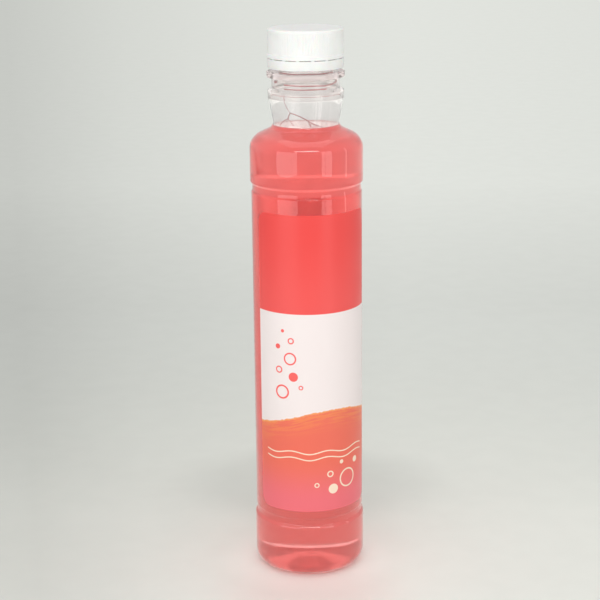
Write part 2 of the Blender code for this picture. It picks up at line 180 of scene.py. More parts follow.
class BottleSizes(bpy.types.PropertyGroup):
    """Sizes of the bottle and of what it holds."""

    band_radius: bpy.props.FloatProperty(
        name="Band radius", description="Outer radius of the two wide bands", default=25.7 * MM, unit="LENGTH")
    panel_radius: bpy.props.FloatProperty(
        name="Panel radius", description="Outer radius of the label panel", default=25.2 * MM, unit="LENGTH")
    wall: bpy.props.FloatProperty(
        name="Wall", description="Thickness of the blown wall", default=WALL, unit="LENGTH")
    fill_height: bpy.props.FloatProperty(
        name="Fill height", description="Height of the liquid's surface", default=210.924 * MM, unit="LENGTH")
    meniscus: bpy.props.FloatProperty(
        name="Meniscus", description="How far the liquid climbs the wall", default=0.3 * MM, unit="LENGTH")
    columns: bpy.props.IntProperty(
        name="Columns", description="Flat sides of a turned piece", default=128, min=32, max=256)


class CapSizes(bpy.types.PropertyGroup):
    """Sizes of the cap and the tamper ring."""

    ribs: bpy.props.IntProperty(name="Ribs", description="Grip ribs around the cap", default=84, min=12, max=160)
    rib_depth: bpy.props.FloatProperty(
        name="Rib depth", description="How deep the grip ribs are", default=0.18 * MM, unit="LENGTH")
    bridges: bpy.props.IntProperty(
        name="Bridges", description="Thin bridges between the cap and the tamper ring", default=16, min=4, max=32)
    bridge_phase: bpy.props.FloatProperty(
        name="Bridge phase", description="Angle of the first bridge from the front", default=math.radians(0.4),
        subtype="ANGLE")


class LabelSizes(bpy.types.PropertyGroup):
    """Sizes of the wrapped labels."""

    width: bpy.props.FloatProperty(
        name="Width", description="Width of the label along its curve", default=61.2 * MM, unit="LENGTH")
    corner: bpy.props.FloatProperty(
        name="Corner", description="Radius of the label's corners", default=5.0 * MM, unit="LENGTH")
    thickness: bpy.props.FloatProperty(
        name="Thickness", description="Thickness of the label film", default=0.12 * MM, unit="LENGTH")
    columns: bpy.props.IntProperty(
        name="Columns", description="Flat strips across a label", default=56, min=16, max=128)


class BottleColours(bpy.types.PropertyGroup):
    """Colours of the bottle, its liquid, its cap and its labels."""

    liquid: bpy.props.FloatVectorProperty(
        name="Liquid", description="Colour that light has after it crosses the liquid",
        default=(0.995, 0.185, 0.172), **COLOUR)
    foam: bpy.props.FloatVectorProperty(
        name="Foam", description="Colour of the thin films in the neck",
        default=(0.68, 0.09, 0.11), **COLOUR)
    plastic: bpy.props.FloatVectorProperty(
        name="Clear plastic", description="Slight tint of the clear wall",
        default=(0.985, 0.98, 0.975), **COLOUR)
    neck: bpy.props.FloatVectorProperty(
        name="Clear neck", description="Tint of the thicker plastic of the neck",
        default=(0.90, 0.895, 0.885), **COLOUR)
    finish: bpy.props.FloatVectorProperty(
        name="Clear finish", description="Tint of the neck's top, from the collar to the mouth",
        default=(0.865, 0.835, 0.82), **COLOUR)
    support_ring: bpy.props.FloatVectorProperty(
        name="Support ring", description="Tint of the ring on the neck under the cap",
        default=(0.80, 0.72, 0.71), **COLOUR)
    cap: bpy.props.FloatVectorProperty(
        name="Cap", description="White of the cap and the tamper ring",
        default=(0.86, 0.86, 0.85), **COLOUR)
    label_red: bpy.props.FloatVectorProperty(
        name="Label red", description="Red of the label's upper field",
        default=(0.84, 0.063, 0.058), **COLOUR)
    label_pink: bpy.props.FloatVectorProperty(
        name="Label pink", description="Pink of the label's lower edge",
        default=(0.84, 0.155, 0.185), **COLOUR)
    label_coral: bpy.props.FloatVectorProperty(
        name="Label coral", description="Coral under the label's wave",
        default=(0.83, 0.15, 0.097), **COLOUR)
    label_orange: bpy.props.FloatVectorProperty(
        name="Label orange", description="Orange along the label's wave",
        default=(0.87, 0.235, 0.085), **COLOUR)
    label_white: bpy.props.FloatVectorProperty(
        name="Label white", description="White of the label's middle field",
        default=(0.865, 0.78, 0.775), **COLOUR)


def around(radius, angle, z):
    """A place by its distance from the axis, its angle from the front towards +X, and its height."""
    return Vector((radius * math.sin(angle), -radius * math.cos(angle), z))


def arc(centre_r, centre_z, radius, start_deg, end_deg, steps):
    """Points of a round stretch of an outline, which is a list of (radius, height)."""
    points = []
    for step in range(steps + 1):
        angle = math.radians(start_deg + (end_deg - start_deg) * step / steps)
        points.append((centre_r + radius * math.cos(angle), centre_z + radius * math.sin(angle)))
    return points


def wave(start, end, steps):
    """A smooth step from one radius to another, level with the wall at both ends."""
    points = []
    for step in range(steps + 1):
        share = step / steps
        blend = (1.0 - math.cos(math.pi * share)) / 2.0
        points.append((start[0] + (end[0] - start[0]) * blend, start[1] + (end[1] - start[1]) * share))
    return points


def ledge(band, groove, low, high):
    """The lower band's top edge: a short round, a flat that mirrors the softboxes, and a hollow up to the groove."""
    shares = ((0.0, 0.0), (0.08, 0.012), (0.16, 0.062), (0.34, 0.225), (0.54, 0.43), (0.66, 0.59), (0.78, 0.80),
              (0.88, 0.93), (1.0, 1.0))
    return [(band + (groove - band) * inwards, low + (high - low) * rise) for rise, inwards in shares]


def body_outline(size, steps=10):
    """Outer outline of the blown body, from the middle of the base to the neck's root."""
    band, panel = size.band_radius, size.panel_radius
    groove = panel - GROOVE_DEPTH
    ring_outer = band - HEEL_RADIUS
    ring_inner = ring_outer - STANDING_RING_WIDTH
    edge, lip = EDGE_RISE / 2.0, LIP_RISE / 2.0
    points = [(0.0, PUSH_UP_HEIGHT - GATE_HEIGHT), (GATE_RADIUS * GATE_FLAT_SHARE, PUSH_UP_HEIGHT - GATE_HEIGHT)]
    for step in range(2 * steps + 1):
        share = step / (2 * steps)
        radius = GATE_RADIUS + (ring_inner - GATE_RADIUS) * share
        points.append((radius, PUSH_UP_HEIGHT * (1.0 + math.cos(math.pi * share)) / 2.0))
    points += arc(ring_outer, HEEL_RADIUS, HEEL_RADIUS, -90.0, 0.0, steps + 4)
    points += ledge(band, groove, LEDGE_Z - edge, LEDGE_Z + edge)
    lower, upper = LEDGE_Z + GROOVE_WIDTH, BAND_EDGE_Z - GROOVE_WIDTH
    points += wave((groove, lower - lip), (panel, lower + lip), steps)
    points += wave((panel, upper - lip), (groove, upper + lip), steps)
    points += wave((groove, BAND_EDGE_Z - edge), (band, BAND_EDGE_Z + edge), steps)
    turn = 90.0 - math.degrees(SHOULDER_SLOPE)
    points += arc(band - SHOULDER_RADIUS, SHOULDER_Z, SHOULDER_RADIUS, 0.0, turn, steps)
    points += arc(NECK_ROOT_RADIUS + NECK_FILLET, NECK_ROOT_Z, NECK_FILLET, 180.0 + turn, 180.0, steps)
    return points


def neck_outline(steps=5):
    """Outer outline of the neck, from the foot of the collar to the mouth."""
    relief = NECK_RADIUS - RELIEF_DEPTH
    collar_end = COLLAR_TOP_Z + COLLAR_BEVEL
    bead_top = LOCK_BEAD_Z + LOCK_BEAD_HEIGHT
    return [
        *arc(COLLAR_RADIUS - COLLAR_FOOT_ROUND, COLLAR_Z + COLLAR_FOOT_RISE, COLLAR_FOOT_ROUND, -12.0, 0.0, 2),
        *arc(COLLAR_RADIUS - COLLAR_TOP_ROUND, COLLAR_TOP_Z - COLLAR_TOP_ROUND, COLLAR_TOP_ROUND, 0.0, 62.0, 4),
        (NECK_RADIUS + NECK_FLARE, collar_end - NECK_FLARE / 4.0),
        (NECK_RADIUS, collar_end),
        (relief, collar_end + RELIEF_WIDTH * 0.4),
        (relief, collar_end + RELIEF_WIDTH * 0.6),
        (NECK_RADIUS, collar_end + RELIEF_WIDTH),
        (NECK_RADIUS, RING_Z - RING_UNDERCUT),
        (NECK_RADIUS + NECK_FLARE, RING_Z),
        *arc(RING_RADIUS - RING_EDGE, RING_Z + 2.0 * RING_EDGE, RING_EDGE, -60.0, 0.0, steps),
        *arc(RING_RADIUS - RING_EDGE, FINISH_Z - RING_EDGE, RING_EDGE, 0.0, 90.0, steps),
        (NECK_RADIUS + NECK_FLARE, FINISH_Z),
        (NECK_RADIUS, FINISH_Z + NECK_FLARE),
        (NECK_RADIUS, LOCK_BEAD_Z - LOCK_BEAD_FOOT),
        (LOCK_BEAD_RADIUS, LOCK_BEAD_Z),
        (LOCK_BEAD_RADIUS, bead_top),
        (FINISH_RADIUS, bead_top + LOCK_BEAD_SLOPE),
        *arc(FINISH_RADIUS - LIP_ROUND, MOUTH_Z - LIP_ROUND, LIP_ROUND, 0.0, 90.0, steps),
    ]


def moved_inwards(points, distance):
    """The outline moved into the material by a distance, square to its own direction."""
    clean = [points[0]]
    for point in points[1:]:
        if math.dist(point, clean[-1]) > SHORTEST_RUN:
            clean.append(point)
    moved = []
    for index, point in enumerate(clean):
        before, after = clean[max(index - 1, 0)], clean[min(index + 1, len(clean) - 1)]
        run_r, run_z = after[0] - before[0], after[1] - before[1]
        length = math.hypot(run_r, run_z)
        radius = 0.0 if index == 0 else point[0] - distance * run_z / length
        moved.append((radius, point[1] + distance * run_r / length))
    return moved


def cavity_outline(size, gap=0.0):
    """Inner outline of the blown body. Over the gate it is level."""
    inner = moved_inwards(body_outline(size, 8), size.wall + gap)
    return [(0.0, inner[2][1])] + inner[2:]


def neck_cavity():
    """Inner outline of the neck, from the collar to the mouth. It narrows to the bore inside the support ring."""
    collar, neck = COLLAR_RADIUS - COLLAR_WALL, NECK_RADIUS - NECK_WALL
    ceiling = COLLAR_TOP_Z - COLLAR_WALL
    return [
        (collar - SHORTEST_RUN, COLLAR_Z),
        (collar, ceiling - COLLAR_CORNER),
        (collar - COLLAR_CORNER_DEPTH, ceiling + COLLAR_CORNER / 3.0),
        (neck + NECK_FLARE, COLLAR_TOP_Z - COLLAR_CORNER / 2.0),
        (neck, COLLAR_TOP_Z + COLLAR_CORNER / 3.0),
        (neck, RING_Z - BORE_STEP_DROP),
        (BORE_RADIUS + BORE_FLARE, RING_Z + BORE_RISE - BORE_FLARE_RISE),
        (BORE_RADIUS, RING_Z + BORE_RISE),
        *arc(BORE_RADIUS + LIP_ROUND, MOUTH_Z - LIP_ROUND, LIP_ROUND, 180.0, 90.0, 5),
    ]


# Mesh tools


def object_mode():
    bpy.ops.object.mode_set(mode="OBJECT")


def edit_mode(action="SELECT"):
    """Edit the active piece, with all or nothing of it selected."""
    bpy.ops.object.mode_set(mode="EDIT")
    bpy.ops.mesh.select_all(action=action)


def deselect():
    if bpy.context.mode != "OBJECT":
        object_mode()
    bpy.ops.object.select_all(action="DESELECT")


def pick(piece):
    deselect()
    piece.select_set(True)
    bpy.context.view_layer.objects.active = piece


def trace(name, places):
    """Draw a line point by point from one vertex, and stay in edit mode."""
    deselect()
    bpy.ops.mesh.primitive_plane_add(size=MM, location=(0.0, 0.0, 0.0))
    piece = bpy.context.object
    piece.name = name
    edit_mode()
    bpy.ops.mesh.merge(type="CENTER")
    bpy.ops.transform.translate(value=places[0])
    for before, after in zip(places, places[1:]):
        step = after - before
        if step.length > SHORTEST_STEP:
            bpy.ops.mesh.extrude_vertices_move(TRANSFORM_OT_translate={"value": step})
    return piece


def merge_close():
    bpy.ops.mesh.select_all(action="SELECT")
    bpy.ops.mesh.remove_doubles(threshold=MERGE_DISTANCE)


def close_mesh():
    """Merge what meets, turn the faces outwards and leave edit mode."""
    merge_close()
    bpy.ops.mesh.normals_make_consistent(inside=False)
    object_mode()


def turned(name, points, columns, angle=0.0, sweep=FULL_TURN):
    """An outline that is traced at an angle and spun about the bottle's axis."""
    piece = trace(name, [around(radius, angle, z) for radius, z in points])
    bpy.ops.mesh.select_all(action="SELECT")
    bpy.ops.mesh.spin(steps=columns, angle=-sweep, center=(0.0, 0.0, 0.0), axis=(0.0, 0.0, 1.0))
    close_mesh()
    return piece


def apply_modifier(piece, kind, **settings):
    """Give the active piece a modifier, set it and apply it."""
    bpy.ops.object.modifier_add(type=kind)
    modifier = piece.modifiers[-1]
    for key, value in settings.items():
        setattr(modifier, key, value)
    bpy.context.view_layer.update()
    bpy.ops.object.modifier_apply(modifier=modifier.name)


def repeat_around(piece, count):
    """Copy a sector around the axis until the ring closes."""
    bpy.ops.object.empty_add(location=(0.0, 0.0, 0.0))
    guide = bpy.context.object
    guide.rotation_euler.z = FULL_TURN / count
    pick(piece)
    apply_modifier(
        piece, "ARRAY", count=count, use_relative_offset=False, use_object_offset=True, offset_object=guide)
    bpy.data.objects.remove(guide)
    edit_mode()
    close_mesh()


def join_solid(piece, other):
    """Union of two solids, after which the second one is gone."""
    pick(piece)
    apply_modifier(piece, "BOOLEAN", operation="UNION", solver="EXACT", object=other)
    bpy.data.objects.remove(other)


def thread_ridge(name, root, crest, start_z, columns=96):
    """A helical ridge whose height fades out at both ends."""
    root_low, root_high = start_z - THREAD_ROOT_WIDTH / 2.0, start_z + THREAD_ROOT_WIDTH / 2.0
    crest_low, crest_high = start_z - THREAD_CREST_WIDTH / 2.0, start_z + THREAD_CREST_WIDTH / 2.0
    section = ((root, root_low), (crest, crest_low), (crest, crest_high), (root, root_high), (root, root_low))
    piece = trace(name, [around(radius, 0.0, z) for radius, z in section])
    merge_close()
    object_mode()
    corners = len(piece.data.vertices)
    steps = round(THREAD_TURNS * columns)
    apply_modifier(piece, "SCREW", angle=THREAD_TURNS * FULL_TURN, screw_offset=THREAD_TURNS * THREAD_PITCH,
                   steps=steps, render_steps=steps)
    rows = len(piece.data.vertices) // corners
    fade = FADE_TURN_SHARE * columns
    for index, vertex in enumerate(piece.data.vertices):
        row = index // corners
        rise = min(1.0, FADE_END_SHARE + (1.0 - FADE_END_SHARE) * min(row, rows - 1 - row) / fade)
        radius = vertex.co.xy.length
        if abs(radius - crest) < abs(radius - root):
            vertex.co.xy *= (root + (crest - root) * rise) / radius
    edit_mode()
    bpy.ops.mesh.fill_holes(sides=0)
    close_mesh()
    return piece


def smooth(piece, degrees=30.0):
    pick(piece)
    bpy.ops.object.shade_smooth_by_angle(angle=math.radians(degrees))


# Materials

# The parting line, with its rise as a share of the grain's, and what the grain is made of
PARTING_ANGLE = math.radians(8.5)
PARTING_WIDTH = 0.25 * MM
PARTING_RISE = 3.0
FINE_SHARE = 0.35
GRAIN_DETAIL = 3.0
# Values of the grain's shade between which nearly all of it lies
SHADE_RANGE = (0.3, 0.7)
BLACK = (0.0, 0.0, 0.0)


def add_node(tree, kind, **settings):
    """A new node with its settings."""
    item = tree.nodes.new(kind)
    for key, value in settings.items():
        setattr(item, key, value)
    return item


def feed(tree, value, socket):
    """Link a socket to another one, or set it to a number or a colour."""
    if isinstance(value, bpy.types.NodeSocket):
        tree.links.new(value, socket)
    elif socket.type == "RGBA":
        socket.default_value = (*value[:3], 1.0)
    else:
        socket.default_value = value


def math_node(tree, operation, first, second=None, clamp=False):
    item = add_node(tree, "ShaderNodeMath", operation=operation, use_clamp=clamp)
    feed(tree, first, item.inputs[0])
    if second is not None:
        feed(tree, second, item.inputs[1])
    return item.outputs[0]


def plus(tree, first, second, clamp=False):
    return math_node(tree, "ADD", first, second, clamp)


def minus(tree, first, second):
    return math_node(tree, "SUBTRACT", first, second)


def times(tree, first, second, clamp=False):
    return math_node(tree, "MULTIPLY", first, second, clamp)


def absolute(tree, value):
    return math_node(tree, "ABSOLUTE", value)


def distance_node(tree, right, ahead):
    """Distance from zero by two coordinates."""
    return math_node(tree, "SQRT", plus(tree, times(tree, right, right), times(tree, ahead, ahead)))


def range_node(tree, value, low, high, to_low=0.0, to_high=1.0, kind="SMOOTHSTEP"):
    item = add_node(tree, "ShaderNodeMapRange", interpolation_type=kind)
    tree.links.new(value, item.inputs["Value"])
    for name, number in (("From Min", low), ("From Max", high), ("To Min", to_low), ("To Max", to_high)):
        item.inputs[name].default_value = number
    return item.outputs["Result"]


def mix_colour(tree, factor, first, second, blend="MIX"):
    item = add_node(tree, "ShaderNodeMix", data_type="RGBA", blend_type=blend)
    for value, socket in ((factor, item.inputs["Factor"]), (first, item.inputs[6]), (second, item.inputs[7])):
        feed(tree, value, socket)
    return item.outputs[2]


def tinted(tree, colour, tint, share=1.0):
    return mix_colour(tree, share, colour, tint, "MULTIPLY")


def noise(tree, place, scale, detail=2.0):
    texture = add_node(tree, "ShaderNodeTexNoise")
    for value, name in ((place, "Vector"), (scale, "Scale"), (detail, "Detail")):
        feed(tree, value, texture.inputs[name])
    return texture.outputs["Fac"]


def axes_of(tree, place):
    """The X, Y and Z sockets of a place."""
    split = add_node(tree, "ShaderNodeSeparateXYZ")
    tree.links.new(place, split.inputs[0])
    return split.outputs


def start_material(name, **settings):
    material = bpy.data.materials.new(name)
    material.use_nodes = True
    tree = material.node_tree
    shader = tree.nodes["Principled BSDF"]
    for key, value in settings.items():
        shader.inputs[key.replace("_", " ").title().replace("Ior", "IOR")].default_value = value
    place = add_node(tree, "ShaderNodeTexCoord").outputs["Object"]
    return material, tree, shader, place


def start_group(name, inputs, outputs):
    """A new node group. Its inputs are given by their defaults, where None stands for a place."""
    group = bpy.data.node_groups.new(name, "ShaderNodeTree")
    for label, default in inputs.items():
        kind = "NodeSocketVector" if default is None else "NodeSocketFloat"
        socket = group.interface.new_socket(name=label, in_out="INPUT", socket_type=kind)
        if default is not None:
            socket.default_value = default
    for label in outputs:
        group.interface.new_socket(name=label, in_out="OUTPUT", socket_type="NodeSocketFloat")
    return group, add_node(group, "NodeGroupInput").outputs, add_node(group, "NodeGroupOutput").inputs


def surface_grain_group():
    """Fine unevenness of a moulded or blown surface, as a height and a shade."""
    made = bpy.data.node_groups.get("surface_grain")
    if made:
        return made
    group, given, result = start_group(
        "surface_grain", {"Place": None, "Fine Scale": 2000.0, "Broad Scale": 60.0}, ("Height", "Shade"))
    fine = noise(group, given["Place"], given["Fine Scale"], GRAIN_DETAIL)
    broad = noise(group, given["Place"], given["Broad Scale"], GRAIN_DETAIL)
    group.links.new(plus(group, times(group, fine, FINE_SHARE), broad), result["Height"])
    group.links.new(broad, result["Shade"])
    return group


def add_group(tree, group, **values):
    """Place a node group with its own values."""
    item = add_node(tree, "ShaderNodeGroup", node_tree=group)
    for key, value in values.items():
        feed(tree, value, item.inputs[key.replace("_", " ").title()])
    return item.outputs


def add_grain(tree, place, fine, broad):
    grain = add_group(tree, surface_grain_group(), place=place, fine_scale=fine, broad_scale=broad)
    return grain["Height"], grain["Shade"]


def vary_roughness(tree, shader, shade, low, high):
    tree.links.new(range_node(tree, shade, *SHADE_RANGE, low, high), shader.inputs["Roughness"])


def add_bump(tree, shader, height, distance, strength=1.0):
    bump = add_node(tree, "ShaderNodeBump")
    bump.inputs["Strength"].default_value = strength
    bump.inputs["Distance"].default_value = distance
    tree.links.new(height, bump.inputs["Height"])
    tree.links.new(bump.outputs["Normal"], shader.inputs["Normal"])


def add_glow(tree, shader, mask, colour, strength):
    """Let a surface give off a little light where the mask is full."""
    tree.links.new(mix_colour(tree, mask, BLACK, colour), shader.inputs["Emission Color"])
    shader.inputs["Emission Strength"].default_value = strength


def clear_plastic(name, colour, ior, transmission=1.0, specular=0.5, alpha=1.0, coat=0.0):
    """Clear blown plastic. Its wall is very slightly uneven, and a fine parting line runs up it."""
    material, tree, shader, place = start_material(
        name, base_color=(*colour, 1.0), ior=ior, transmission_weight=transmission,
        specular_ior_level=specular, alpha=alpha, coat_weight=coat)
    height, shade = add_grain(tree, place, fine=240.0, broad=45.0)
    vary_roughness(tree, shader, shade, 0.012, 0.05)
    axes = axes_of(tree, place)
    right = times(tree, axes["X"], math.cos(PARTING_ANGLE))
    away = absolute(tree, plus(tree, right, times(tree, axes["Y"], math.sin(PARTING_ANGLE))))
    seam = range_node(tree, away, 0.0, PARTING_WIDTH, PARTING_RISE, 0.0)
    add_bump(tree, shader, plus(tree, height, seam), distance=0.03 * MM, strength=0.4)
    return material


def weaker(colour, share):
    """A tint of which only a share is left."""
    return tuple(1.0 - (1.0 - channel) * share for channel in colour)


def darker(colour, share):
    return tuple(channel * share for channel in colour)


# The liquid is paler towards its base, by this much in green and blue, and slightly darker in places
PALE_HEIGHTS = (12.0 * MM, 36.0 * MM)
PALE_RISE = 0.07
MOTTLE_SHARE = 0.97


def liquid_material(name, colour, ior, transmission, coat=0.0):
    """Clear tinted liquid. Light that meets its side at a slant crosses less of it, so the tint is weaker there."""
    material, tree, shader, place = start_material(
        name, base_color=(*colour, 1.0), ior=ior, transmission_weight=transmission, coat_weight=coat)
    shade = add_grain(tree, place, fine=300.0, broad=25.0)[1]
    low = range_node(tree, axes_of(tree, place)["Z"], *PALE_HEIGHTS, 1.0, 0.0)
    tint = mix_colour(tree, range_node(tree, shade, *SHADE_RANGE), colour, darker(colour, MOTTLE_SHARE))
    tint = mix_colour(tree, low, tint, (colour[0], colour[1] + PALE_RISE, colour[2] + PALE_RISE))
    slant = add_node(tree, "ShaderNodeLayerWeight").outputs["Facing"]
    tint = mix_colour(tree, slant, tint, tuple(math.sqrt(channel) for channel in colour))
    tree.links.new(tint, shader.inputs["Base Color"])
    vary_roughness(tree, shader, shade, 0.0, 0.01)
    return material


FLOW_MARK_SHARE = 0.965
FLOW_MARK_RANGE = (0.35, 0.65)


def white_plastic(name, colour):
    """Satin white moulded plastic with faint flow marks."""
    material, tree, shader, place = start_material(name, subsurface_weight=0.15, subsurface_scale=1.5 * MM)
    height, shade = add_grain(tree, place, fine=3500.0, broad=160.0)
    marks = mix_colour(tree, range_node(tree, shade, *FLOW_MARK_RANGE), darker(colour, FLOW_MARK_SHARE), colour)
    tree.links.new(marks, shader.inputs["Base Color"])
    vary_roughness(tree, shader, shade, 0.34, 0.46)
    add_bump(tree, shader, height, distance=0.02 * MM, strength=0.6)
    return material


LINER_LIGHT = (0.80, 0.80, 0.79)
LINER_DARK = (0.68, 0.68, 0.67)


def liner_foam(name):
    """Soft white foam with fine cells."""
    material, tree, shader, place = start_material(name)
    cells = add_node(tree, "ShaderNodeTexVoronoi")
    cells.inputs["Scale"].default_value = 2600.0
    tree.links.new(place, cells.inputs["Vector"])
    edge = range_node(tree, cells.outputs["Distance"], 0.2, 0.8)
    tree.links.new(mix_colour(tree, edge, LINER_LIGHT, LINER_DARK), shader.inputs["Base Color"])
    tree.links.new(range_node(tree, edge, 0.0, 1.0, 0.7, 0.9), shader.inputs["Roughness"])
    add_bump(tree, shader, cells.outputs["Distance"], distance=0.04 * MM)
    return material


# Print of the labels. Its places and lengths are in millimetres from the middle of a label's lower edge.
PRINT_RADIUS = 25.3
PRINT_SHARPNESS = 8.0
PRINT_SIDE = 26.0
RED_FIELD_LOW = 95.0
RED_FIELD_HIGH = 135.0
RED_RISE = 0.025
RED_SHARPNESS = 6.0
PINK_HEIGHTS = (4.0, 26.0)
WAVE_HEIGHT = 45.2
WAVE_SWING = 4.0
WAVE_LENGTH = 90.0
WAVE_SHIFT = 8.0
WAVE_FUZZ = 1.6
WAVE_SHARPNESS = 3.0
STREAK_STRETCH = (0.09, 0.8)
STREAK_RANGE = (0.35, 0.62)
STREAK_DEPTH = 12.0
RIM_DEPTH = 1.4
RIM_SHARE = 0.6
RIM_COLOUR = (0.92, 0.45, 0.13)
BUBBLE_RED = (0.90, 0.12, 0.11)
LINE_CREAM = (0.93, 0.74, 0.58)
FILM_MARK = (0.75, 0.70, 0.70)
FILM_MARK_SHARE = 0.08
# Bubbles, each as its place across, its height, its radius and the width of its line
FRONT_BUBBLES = (
    (-17.0, 58.0, 3.4, 0.8), (-11.5, 65.5, 2.2, 2.2), (-18.5, 68.5, 1.7, 0.6), (-13.0, 74.0, 3.0, 0.7),
    (-19.0, 79.5, 1.2, 1.2), (-12.5, 82.5, 1.5, 0.6), (-16.5, 87.0, 0.8, 0.8), (-8.0, 60.5, 1.1, 0.5),
)
LOWER_BUBBLES = (
    (15.0, 14.5, 4.6, 0.7), (7.0, 10.5, 2.4, 2.4), (5.5, 18.0, 1.6, 0.6), (20.5, 22.0, 1.5, 1.5),
    (-1.0, 13.0, 1.2, 0.5), (11.5, 23.0, 1.0, 1.0),
)
# Wavy lines, each as its height, its swing, the length of its waves and its width
FRONT_LINES = ((29.0, 0.7, 17.0, 0.55), (26.0, 0.7, 17.0, 0.55))
BACK_LINES = tuple((36.0 - 4.0 * step, 0.6, 15.0, 0.4) for step in range(7))


def label_across(tree, axes, facing):
    """Distance round the panel from the label's middle, in millimetres."""
    angle = math_node(tree, "ARCTAN2", times(tree, axes["X"], facing), times(tree, axes["Y"], -facing))
    return times(tree, angle, PRINT_RADIUS)


def printed(tree, inside, sharpness=PRINT_SHARPNESS):
    """Mask with a soft edge, full where the distance inside a printed shape is above zero."""
    return plus(tree, times(tree, inside, sharpness), 0.5, clamp=True)


def bubble_group():
    """Mask of one printed bubble: a ring, or a dot where the line is as wide as the radius."""
    made = bpy.data.node_groups.get("printed_bubble")
    if made:
        return made
    group, given, result = start_group(
        "printed_bubble", {"Across": 0.0, "Up": 0.0, "Middle": 0.0, "Height": 0.0, "Radius": 2.0, "Line": 0.4},
        ("Mask",))
    right = minus(group, given["Across"], given["Middle"])
    distance = distance_node(group, right, minus(group, given["Up"], given["Height"]))
    half = times(group, given["Line"], 0.5)
    off_line = absolute(group, minus(group, distance, minus(group, given["Radius"], half)))
    group.links.new(printed(group, minus(group, half, off_line)), result["Mask"])
    return group


def bubbles(tree, across, up, places):
    """Combined mask of printed bubbles."""
    mask = 0.0
    for middle, height, radius, line in places:
        spot = add_group(
            tree, bubble_group(), across=across, up=up, middle=middle, height=height, radius=radius, line=line)
        mask = math_node(tree, "MAXIMUM", spot["Mask"], mask)
    return mask


def ripple(tree, across, up, height, swing, length, width):
    """Mask of a thin wavy line across the label."""
    sine = math_node(tree, "SINE", times(tree, across, math.tau / length))
    off_line = absolute(tree, minus(tree, up, plus(tree, times(tree, sine, swing), height)))
    return printed(tree, minus(tree, width / 2.0, off_line))


def printed_film(name, colours, front):
    """Printed label film with a red field, a white one with bubbles, and a coral one under a wave."""
    material, tree, shader, place = start_material(name, ior=1.5)
    axes = axes_of(tree, place)
    across = label_across(tree, axes, 1.0 if front else -1.0)
    up = times(tree, minus(tree, axes["Z"], LABEL_Z), 1.0 / MM)
    swell = math_node(tree, "COSINE", times(tree, minus(tree, across, WAVE_SHIFT), math.tau / WAVE_LENGTH))
    swell = times(tree, swell, WAVE_SWING)
    fuzz = times(tree, minus(tree, noise(tree, place, scale=700.0, detail=4.0), 0.5), WAVE_FUZZ)
    below = minus(tree, plus(tree, plus(tree, swell, WAVE_HEIGHT), fuzz), up)
    low_red = tuple(channel + RED_RISE for channel in colours.label_red)
    red = mix_colour(tree, range_node(tree, up, RED_FIELD_LOW, RED_FIELD_HIGH), low_red, colours.label_red)
    lower = mix_colour(tree, range_node(tree, up, *PINK_HEIGHTS), colours.label_pink, colours.label_coral)
    stretch = add_node(tree, "ShaderNodeCombineXYZ")
    tree.links.new(times(tree, across, STREAK_STRETCH[0]), stretch.inputs["X"])
    tree.links.new(times(tree, minus(tree, up, swell), STREAK_STRETCH[1]), stretch.inputs["Y"])
    streaks = range_node(tree, noise(tree, stretch.outputs[0], scale=1.0, detail=5.0), *STREAK_RANGE)
    glow = times(tree, range_node(tree, below, 0.0, STREAK_DEPTH, 1.0, 0.0), streaks, clamp=True)
    lower = mix_colour(tree, glow, lower, colours.label_orange)
    rim = range_node(tree, below, 0.0, RIM_DEPTH, 1.0, 0.0)
    lower = mix_colour(tree, times(tree, rim, RIM_SHARE), lower, RIM_COLOUR)
    white, cream = colours.label_white, 0.0
    if front:
        white = mix_colour(tree, bubbles(tree, across, up, FRONT_BUBBLES), white, BUBBLE_RED)
        cream = bubbles(tree, across, up, LOWER_BUBBLES)
    for line in FRONT_LINES if front else BACK_LINES:
        cream = math_node(tree, "MAXIMUM", ripple(tree, across, up, *line), cream)
    side = math_node(tree, "LESS_THAN", absolute(tree, across), PRINT_SIDE)
    lower = mix_colour(tree, times(tree, cream, side), lower, LINE_CREAM)
    upper_mask = times(tree, minus(tree, up, RED_FIELD_LOW), RED_SHARPNESS, clamp=True)
    colour = mix_colour(tree, printed(tree, below, WAVE_SHARPNESS), white, lower)
    colour = mix_colour(tree, upper_mask, colour, red)
    height, shade = add_grain(tree, place, fine=5000.0, broad=70.0)
    colour = tinted(tree, colour, FILM_MARK, times(tree, shade, FILM_MARK_SHARE))
    tree.links.new(colour, shader.inputs["Base Color"])
    vary_roughness(tree, shader, shade, 0.30, 0.40)
    add_bump(tree, shader, height, distance=0.015 * MM, strength=0.5)
    return material


# Colour of the painted glow on the label's underside
UNDERSIDE_PAINTED_GLOW = (1.0, 0.92, 0.88)
UNDERSIDE_DARK = (0.82, 0.76, 0.74)
UNDERSIDE_LIGHT = (0.88, 0.82, 0.80)
# Where the painted glow grows on both sides of the dark middle: from, to, and by how much
UNDERSIDE_MIDDLE = 5.0
UNDERSIDE_STEPS = ((2.8, 4.4, 0.62), (5.0, 8.0, 0.38))


def film_back(name):
    """Label film's underside, with a painted glow for light through the bottle, weaker behind its printed middle."""
    material, tree, shader, place = start_material(name)
    across = label_across(tree, axes_of(tree, place), -1.0)
    off_print = absolute(tree, plus(tree, across, UNDERSIDE_MIDDLE))
    steps = [range_node(tree, off_print, low, high, 0.0, gain) for low, high, gain in UNDERSIDE_STEPS]
    # Painted glow for light that comes through the bottle, weaker at the printed middle
    add_glow(tree, shader, plus(tree, *steps, clamp=True), UNDERSIDE_PAINTED_GLOW, strength=0.58)
    shade = add_grain(tree, place, fine=2500.0, broad=90.0)[1]
    tint = mix_colour(tree, range_node(tree, shade, *SHADE_RANGE), UNDERSIDE_DARK, UNDERSIDE_LIGHT)
    tree.links.new(tint, shader.inputs["Base Color"])
    vary_roughness(tree, shader, shade, 0.45, 0.6)
    return material


